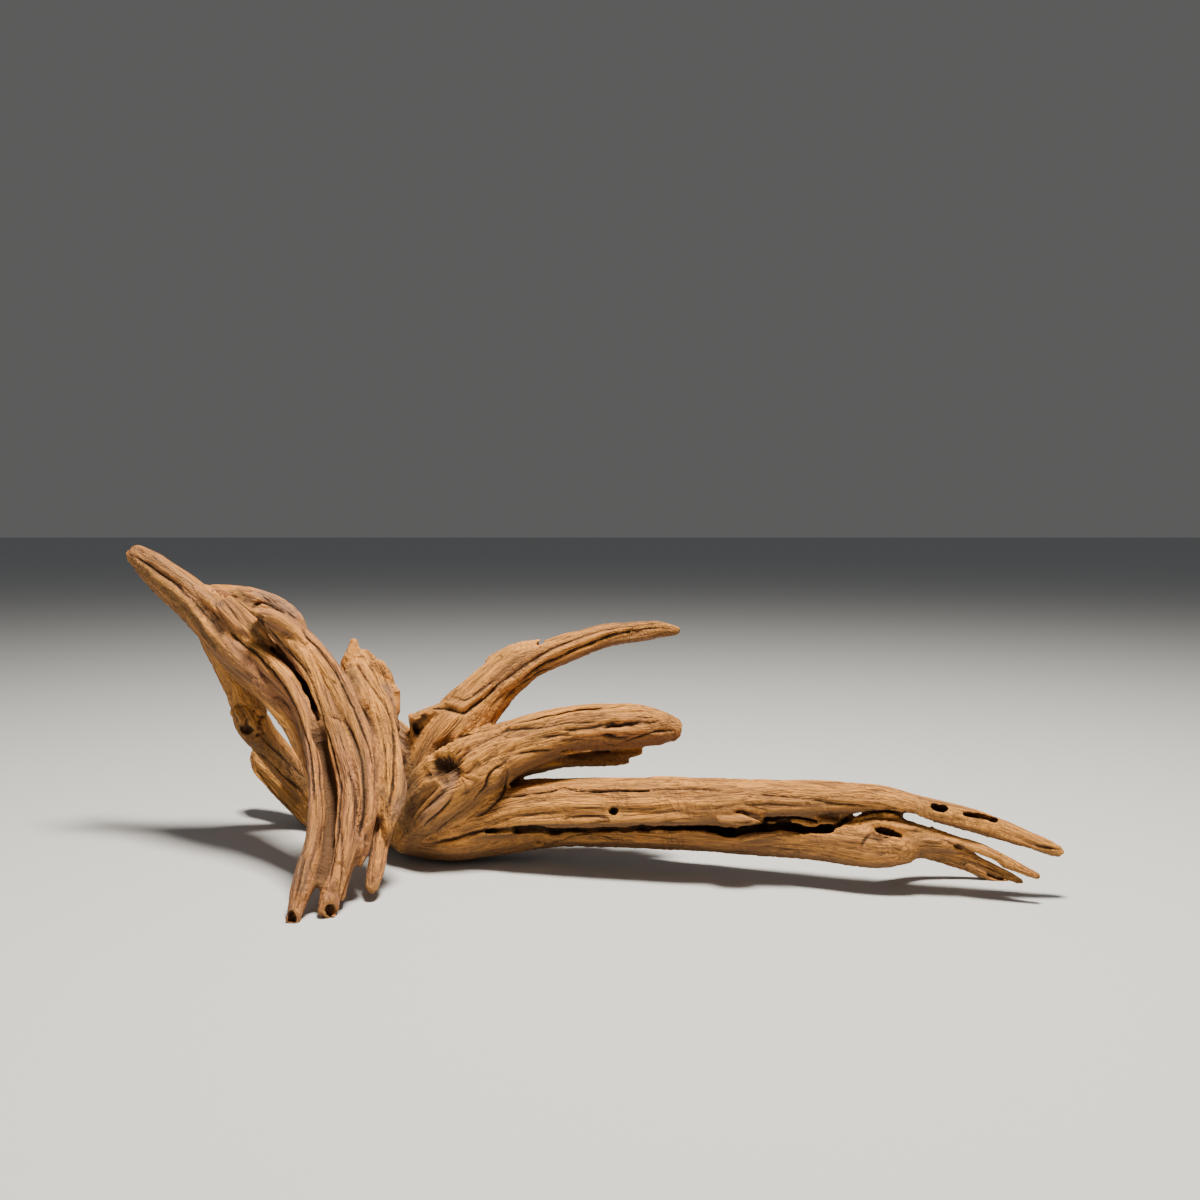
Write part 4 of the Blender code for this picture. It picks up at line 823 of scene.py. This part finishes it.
def woodRelief(mesh, lofts, styles, firstSurface):
    # moves the points of the dense mesh and returns what the material reads at each of them
    points = pointsOf(mesh)
    normals = fieldOf(mesh.vertices, "normal", 3).astype(float)
    count, edges, surface = len(points), edgesOf(mesh), surfaceTree(mesh)
    grain, strand = grainOf(points, lofts)
    seam = np.zeros(count)
    seam[edges[strand[edges[:, 0]] != strand[edges[:, 1]]].ravel()] = 1
    seam = np.clip(smoothed(seam, edges, count, 2) * 1.8, 0, 1)
    print("grain found")

    def ofStyle(key):
        return smoothed(np.array([relief[s][key] for s in styles])[strand], edges, count, 6)

    def drift(name, offset):
        return noiseAt(points / grainRun[name] + offset)

    def runNoise(pitch, stretch, offset):
        scale = np.column_stack([pitch, pitch, pitch * stretch])
        return noiseAt(grain / scale + shift + offset)

    shift = strand[:, None] * np.array([37.1, 11.3, 23.7])      # no two strands share their noise
    grain[:, :2] += np.column_stack([drift("swaySize", 7), drift("swaySize", 31)]) * grainRun["sway"]
    ridge = crease(runNoise(ofStyle("ridgePitch"), grainRun["ridgeStretch"], 3))
    fibre = crease(runNoise(ofStyle("fibrePitch"), grainRun["fibreStretch"], 19))
    strong = 0.45 + 0.75 * smoothStep(-0.3, 0.35, drift("strengthSize", 60))
    height = (ridge - 0.6) * ofStyle("ridge") * strong + (fibre - 0.5) * ofStyle("fibre")
    height += grainRun["swell"] * drift("swellSize", 45)
    giveWay = grainRun["giveWay"]
    print("ridges raised")

    distance, ends, halfWidth, _ = nearMarks(surface, points, sandAndShadePlaces)
    sandAndShade = smoothStep(1.25, 0.6, np.abs(distance) / halfWidth)
    # faces that look down also take the dark sand tone and grit, as painted underside shade
    under = smoothStep(-0.25, -0.75, normals[:, 2]) * 0.75
    worn = smoothStep(0.05, 0.35, drift("wornSize", 90)) * smoothStep(0.3, -0.2, normals[:, 1])
    sandAndShade = np.maximum(sandAndShade, np.maximum(under, worn * 0.4))
    grit = drift("gritSize", 0) + 0.6 * drift("lumpSize", 11)
    height = height * (1 - giveWay["sand"] * sandAndShade) + grit * sandAndShade * grainRun["sandDepth"]
    print("worn places done")

    for bands in (welts, furrows):
        distance, ends, halfWidth, rise = nearMarks(surface, points, bands)
        share = np.abs(distance) / halfWidth
        height *= 1 - giveWay["band"] * smoothStep(1.6, 0.5, share) * ends
        height += rise * ends * np.clip(1 - (share / 1.3) ** 2, 0, 1) ** 1.5

    crack, ends, halfWidth, depth = nearMarks(surface, points, creases)
    vary = 0.85 + 0.55 * drift("crackSize", 71)
    share = np.abs(crack) / (halfWidth * (0.8 + 0.4 * vary))
    height *= 1 - giveWay["crack"] * smoothStep(1.6, 0.4, share) * ends
    height -= np.clip(1 - share, 0, 1) ** 1.5 * depth * vary * (0.25 + 0.75 * ends)
    # painted shade along a crack's middle, stronger where the crack is deeper
    crackNear = smoothStep(2.6, 1.4, np.abs(crack)) * ends * np.clip(vary * depth / 1.8, 0, 1)
    crack = crack * 1.8 / halfWidth

    dark = np.zeros(count)
    pressKnots(surface, points, height, dark)
    height *= 1 - giveWay["seam"] * seam
    # points sunk into the carved gaps are painted dark as shade
    sunk = np.array([firstSurface.find_nearest(p)[3] for p in points.tolist()])
    dark = np.maximum(dark, smoothStep(grainRun["sunkFrom"], grainRun["sunkTo"], sunk) * 0.9)
    print("cracks and knots done")

    moved = points + normals * height[:, None]
    moved[:, 2] = np.maximum(moved[:, 2], wood["footLevel"])
    # how deep each point lies in a hollow: the material paints shade in the hollow places and pales the
    # worn edges
    hollow = ((smoothed(moved, edges, count, 8) - moved) * normals).sum(1)
    mesh.vertices.foreach_set("co", moved.astype(np.float32).ravel())
    mesh.update()

    distance, ends, halfWidth, _ = nearMarks(surface, points, greySkinAndShadePlaces)
    inBundle = np.array([s == "bundle" for s in styles], float)[strand]
    return {
        "grain": grain, "seam": seam, "sandAndShade": sandAndShade, "dark": dark, "crackNear": crackNear,
        "bundle": smoothed(inBundle, edges, count, 12),
        "grey": smoothStep(1.5, 0.5, np.abs(distance) / halfWidth),
        "hollow": np.clip(hollow / 0.8, -1, 1),
        "crack": np.clip(crack, -3, 3),
        # relief height: its low places are painted with shade
        "raised": np.clip(height / 2, -1, 1),
        # faces that look down; the material paints underside shade on them
        "under": smoothStep(-0.1, -0.8, smoothed(normals[:, 2].copy(), edges, count, 6)),
    }


def keepLooks(mesh, dense, looks):
    # the finished mesh takes each value from the nearest point of the dense one
    index, _ = nearest(dense, pointsOf(mesh))
    for name, values in looks.items():
        kind, field = ("FLOAT_VECTOR", "vector") if values.ndim == 2 else ("FLOAT", "value")
        layer = mesh.attributes.new(name, kind, "POINT")
        layer.data.foreach_set(field, values[index].astype(np.float32).ravel())


def growWood():
    forms = list(strands.values())
    forms += [(facing, 0, style, placedByPixel(places)) for facing, style, places in twigs.values()]
    styles = [style for _, _, style, _ in forms]
    lofts = [loftStrand(number, facing, flute, stations)
             for number, (facing, flute, _, stations) in enumerate(forms)]
    verts, faces = gathered([loft[:2] for loft in lofts])
    obj = newObject("driftwood_wood", newMesh("driftwood_wood", verts, faces))
    remesh(obj, wood["fuseCell"], 2)
    print("strands fused", len(obj.data.vertices))
    firstSurface = surfaceTree(obj.data)
    carveSlots(obj)
    print("gaps cut", len(obj.data.vertices))
    remesh(obj, wood["fineCell"], 2)
    print("wood remeshed", len(obj.data.vertices))
    dropCrumbs(obj.data)
    looks = woodRelief(obj.data, lofts, styles, firstSurface)
    dense = pointsOf(obj.data)
    thin = obj.modifiers.new("thin", "DECIMATE")
    thin.ratio = wood["triangles"] / (2 * len(obj.data.polygons))
    applyModifiers(obj)
    print("thinned out", len(obj.data.polygons))
    keepLooks(obj.data, dense, looks)
    obj.data.transform(Matrix.Scale(0.001, 4))
    obj.data.shade_smooth()
    return obj


class Finish:
    # a material whose nodes are added one by one
    def __init__(self, name):
        self.material = bpy.data.materials.new(name)
        self.material.use_nodes = True
        self.nodes = self.material.node_tree.nodes
        self.links = self.material.node_tree.links
        self.shader = self.nodes["Principled BSDF"].inputs

    def join(self, value, socket):
        if isinstance(value, Reading):
            self.links.new(value.socket, socket)
        else:
            socket.default_value = value

    def add(self, kind, settings=None, inputs=None, output=0):
        node = self.nodes.new(kind)
        for name, value in (settings or {}).items():
            setattr(node, name, value)
        for name, value in (inputs or {}).items():
            self.join(value, node.inputs[name])
        return Reading(self, node.outputs[output])

    def attribute(self, name, output="Fac"):
        return self.add("ShaderNodeAttribute", {"attribute_name": name}, output=output)

    def mixed(self, factor, first, second):
        # colours go through Mix, whose colour sockets are 6 and 7
        return self.add("ShaderNodeMix", {"data_type": "RGBA"}, {0: factor, 6: first, 7: second}, 2)


class Reading:
    # a socket's value, with the operators that the shader maths uses
    def __init__(self, finish, socket):
        self.finish = finish
        self.socket = socket

    def math(self, operation, first, second=0.0):
        return self.finish.add("ShaderNodeMath", {"operation": operation}, {0: first, 1: second})

    def __add__(self, other):
        return self.math("ADD", self, other)

    def __sub__(self, other):
        return self.math("SUBTRACT", self, other)

    def __mul__(self, other):
        return self.math("MULTIPLY", self, other)

    def __rsub__(self, other):
        return self.math("SUBTRACT", other, self)

    def __abs__(self):
        return self.math("ABSOLUTE", self)

    __radd__ = __add__
    __rmul__ = __mul__

    def within(self, low, high):
        # 0 at low and 1 at high, smooth between
        settings = {"interpolation_type": "SMOOTHSTEP"}
        inputs = {"Value": self, "From Min": low, "From Max": high}
        return self.finish.add("ShaderNodeMapRange", settings, inputs)


woodFinish = {
    "paleTan": (0.74, 0.320, 0.064, 1),
    "tan": (0.45, 0.200, 0.060, 1),
    # brown for grain, grit and scratches, and for painted shade in the hollow places, low relief and
    # faces that look down
    "brown": (0.135, 0.066, 0.032, 1),
    "pink": (0.44, 0.190, 0.085, 1),
    "orange": (0.52, 0.215, 0.050, 1),
    # grey of the outer skin, darkened so that it also paints the shade on the shoulder plate
    "grey": (0.28, 0.160, 0.103, 1),
    # sand tone, also used as painted shade on faces that look down and on the plate under the middle arm
    "sand": (0.250, 0.130, 0.046, 1),
    # near-black, for painted shade in gaps, knot bowls and crack middles, and for hairline cracks
    "crack": (0.018, 0.008, 0.004, 1),
    "roughness": (0.80, 0.16, -0.18),   # of bare wood, and what fine grain and grey skin add
    "specular": 0.3,
    "bump": (0.75, 0.0024),             # strength, and distance in metres
    # width of the painted shade along a crack's middle
    "crackCore": (0.3, 1.15),           # mm from a crack's middle to the edge of its dark core
    "scratchTilt": (0.45, 0.30, 0.0),   # radians between the scratches and a straight cut
    "grainNoise": {                     # mm across and along the grain, detail, offset
        "broad": (9, 120, 2, 0), "streak": (2.4, 50, 3, 5), "fine": (0.9, 12, 2, 9),
        "fibre": (1.7, 24, 1, 13), "hairline": (6, 90, 1, 3), "scratch": (5, 1.3, 1, 17),
    },
    "evenNoise": {                      # mm, detail, roughness
        "patch": (38, 3, 0.6), "grit": (1.1, 3, 0.7), "scratchPatch": (22, 2, 0.6),
    },
    "layers": {                         # how strongly each shows over those before it, its colour
        # grey skin, and painted shade on the shoulder plate
        "greySkinAndShade": (0.8, "grey"),
        "darkStreaks": (0.55, "brown"),
        "darkGrain": (0.75, "brown"),
        # sand over worn places, and painted shade on faces that look down
        "sand": (0.8, "sand"),
        "sandGrains": (0.7, "brown"),
        "fibres": (0.45, "brown"),
        "scratches": (0.4, "brown"),
        "wornEdges": (0.4, "paleTan"),
        # painted shade in the hollow places
        "hollowShade": (0.8, "brown"),
        # painted shade where the relief is low
        "valleyShade": (0.5, "brown"),
        # painted shade on faces that look down
        "undersideShade": (0.6, "brown"),
        # painted shade in gaps, knot bowls and crack middles
        "gaps": (1.0, "crack"),
        "hairlines": (0.6, "crack"),
    },
    "bumpDepths": {"crackCores": 0.6, "hairlines": 0.6, "fibres": 0.35, "scratches": 0.3},
}


def woodMaterial():
    finish = Finish("weathered_wood")
    grain = finish.attribute("grain", "Vector")
    place = finish.add("ShaderNodeTexCoord", output="Object")
    bundle, sandAndShade, grey, dark, hollow, raised, seam, crack, crackNear, under = map(finish.attribute, (
        "bundle", "sandAndShade", "grey", "dark", "hollow", "raised", "seam", "crack", "crackNear", "under"))

    def alongGrain(name, run=grain):
        # noise drawn out along the grain
        across, along, detail, offset = woodFinish["grainNoise"][name]
        scaled = finish.add("ShaderNodeVectorMath", {"operation": "MULTIPLY_ADD"}, {
            0: run, 1: (1 / across, 1 / across, 1 / along), 2: (offset, offset, offset)})
        return finish.add("ShaderNodeTexNoise", {}, {
            "Vector": scaled, "Scale": 1.0, "Detail": detail, "Roughness": 0.6})

    def even(name):
        # noise of one size in every direction
        size, detail, rough = woodFinish["evenNoise"][name]
        return finish.add("ShaderNodeTexNoise", {}, {
            "Vector": place, "Scale": 1000 / size, "Detail": detail, "Roughness": rough})

    def thinLine(values, low, high):
        # 1 where the noise crosses its middle and 0 beside it
        return 1 - abs(values - 0.5).within(low, high)

    broad, streak, fine = map(alongGrain, ("broad", "streak", "fine"))
    patch, grit, scratchPatch = map(even, ("patch", "grit", "scratchPatch"))
    unseamed = 1 - seam
    # painted shade along the middle of each crack
    core = (1 - (abs(crack) + (grit - 0.5) * 0.5).within(*woodFinish["crackCore"])) * crackNear
    hairline = thinLine(alongGrain("hairline"), 0.004, 0.02) * patch.within(0.42, 0.6) * unseamed
    fibre = thinLine(alongGrain("fibre"), 0.01, 0.07)       # dark lines between fibres
    fibre = fibre * unseamed * (1 - sandAndShade) * patch.within(0.62, 0.4)
    tilted = finish.add("ShaderNodeVectorRotate", {"rotation_type": "EULER_XYZ"}, {
        "Vector": grain, "Rotation": woodFinish["scratchTilt"]})
    scratch = alongGrain("scratch", tilted).within(0.5, 0.36)       # short lines across the grain
    scratch = scratch * unseamed * (1 - bundle) * scratchPatch.within(0.45, 0.62)
    masks = {
        "greySkinAndShade": grey,
        "darkStreaks": streak.within(0.52, 0.34),
        "darkGrain": fine.within(0.52, 0.32) * unseamed,
        "sand": sandAndShade,
        "sandGrains": grit.within(0.52, 0.4) * sandAndShade,
        "fibres": fibre,
        "scratches": scratch,
        "wornEdges": hollow.within(-0.1, -0.6),
        # painted shade in the hollow places
        "hollowShade": hollow.within(0.02, 0.55),
        # painted shade where the relief is low
        "valleyShade": raised.within(-0.15, -0.8),
        # painted underside shade on faces that look down
        "undersideShade": under,
        # painted shade in the carved gaps, the knot bowls and the crack middles
        "gaps": dark.math("MAXIMUM", dark, core * 0.8),
        "hairlines": hairline,
        "crackCores": core,
    }

    limbTone = finish.mixed(broad.within(0.30, 0.58), woodFinish["tan"], woodFinish["paleTan"])
    limbTone = finish.mixed(patch.within(0.5, 0.72) * 0.5, limbTone, woodFinish["orange"])
    bundleTone = finish.mixed(broad.within(0.42, 0.70), woodFinish["pink"], woodFinish["paleTan"])
    bundleTone = finish.mixed(streak.within(0.5, 0.66) * 0.7, bundleTone, woodFinish["orange"])
    tone = finish.mixed(bundle, limbTone, bundleTone)
    for name, (share, colour) in woodFinish["layers"].items():
        tone = finish.mixed(masks[name] * share, tone, woodFinish[colour])
    finish.join(tone, finish.shader["Base Color"])
    bare, fineShare, greyShare = woodFinish["roughness"]
    finish.join(fine * fineShare + bare + grey * greyShare, finish.shader["Roughness"])
    finish.join(woodFinish["specular"], finish.shader["Specular IOR Level"])
    surface = fine * (1 - sandAndShade * 0.7) * (1 - seam * 0.8) + streak * unseamed * 0.8
    surface = surface + grit * (sandAndShade + 0.12)
    for name, depth in woodFinish["bumpDepths"].items():
        surface = surface - masks[name] * depth
    strength, distance = woodFinish["bump"]
    bump = finish.add("ShaderNodeBump", {}, {
        "Strength": strength, "Distance": distance, "Height": surface})
    finish.join(bump, finish.shader["Normal"])
    return finish.material


room = {
    "floorHalf": 30.0,                  # metres
    "floorTone": (0.59, 0.61, 0.64, 1),
    "floorRoughness": 0.9,
    "worldTone": (0.80, 0.80, 0.79, 1),
    "worldLight": 0.14,
    "lamps": {                          # place and size in metres, power in watts
        "key": ((0.14, -0.20, 1.30), 0.28, 46.0),
        "fill": ((-0.9, -1.3, 0.7), 1.2, 2.5),
    },
    "lampAim": (0, 0, 0.06),
    "lampTone": (1, 0.91, 0.77),
}


def setRoom():
    half = room["floorHalf"]
    corners = [(-half, -half, 0), (half, -half, 0), (half, half, 0), (-half, half, 0)]
    floor = newObject("floor", newMesh("floor", corners, [(0, 1, 2, 3)]))
    paint = Finish("floor_paint")
    paint.join(room["floorTone"], paint.shader["Base Color"])
    paint.join(room["floorRoughness"], paint.shader["Roughness"])
    floor.data.materials.append(paint.material)
    world = bpy.data.worlds.new("room")
    world.use_nodes = True
    sky = world.node_tree.nodes["Background"]
    sky.inputs["Color"].default_value = room["worldTone"]
    sky.inputs["Strength"].default_value = room["worldLight"]
    bpy.context.scene.world = world
    for name, (place, size, power) in room["lamps"].items():
        lamp = bpy.data.lights.new(name, "AREA")
        lamp.size = size
        lamp.energy = power
        lamp.color = room["lampTone"]
        obj = newObject(name, lamp)
        obj.location = place
        aim = Vector(room["lampAim"]) - Vector(place)
        obj.rotation_euler = aim.to_track_quat("-Z", "Y").to_euler()
    print("room set")


def setCamera():
    lens = bpy.data.cameras.new("camera")
    lens.lens = view["lens"]
    lens.sensor_width = view["sensor"]
    lens.clip_end = view["farthest"]
    obj = newObject("camera", lens)
    obj.location = Vector(view["place"]) * 0.001
    obj.rotation_euler = (math.radians(90 - view["downward"]), 0, 0)
    bpy.context.scene.camera = obj


setCamera()
setRoom()
driftwood = growWood()
driftwood.data.materials.clear()
driftwood.data.materials.append(woodMaterial())
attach(driftwood, "root")
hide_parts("driftwood")
print("wood finished")
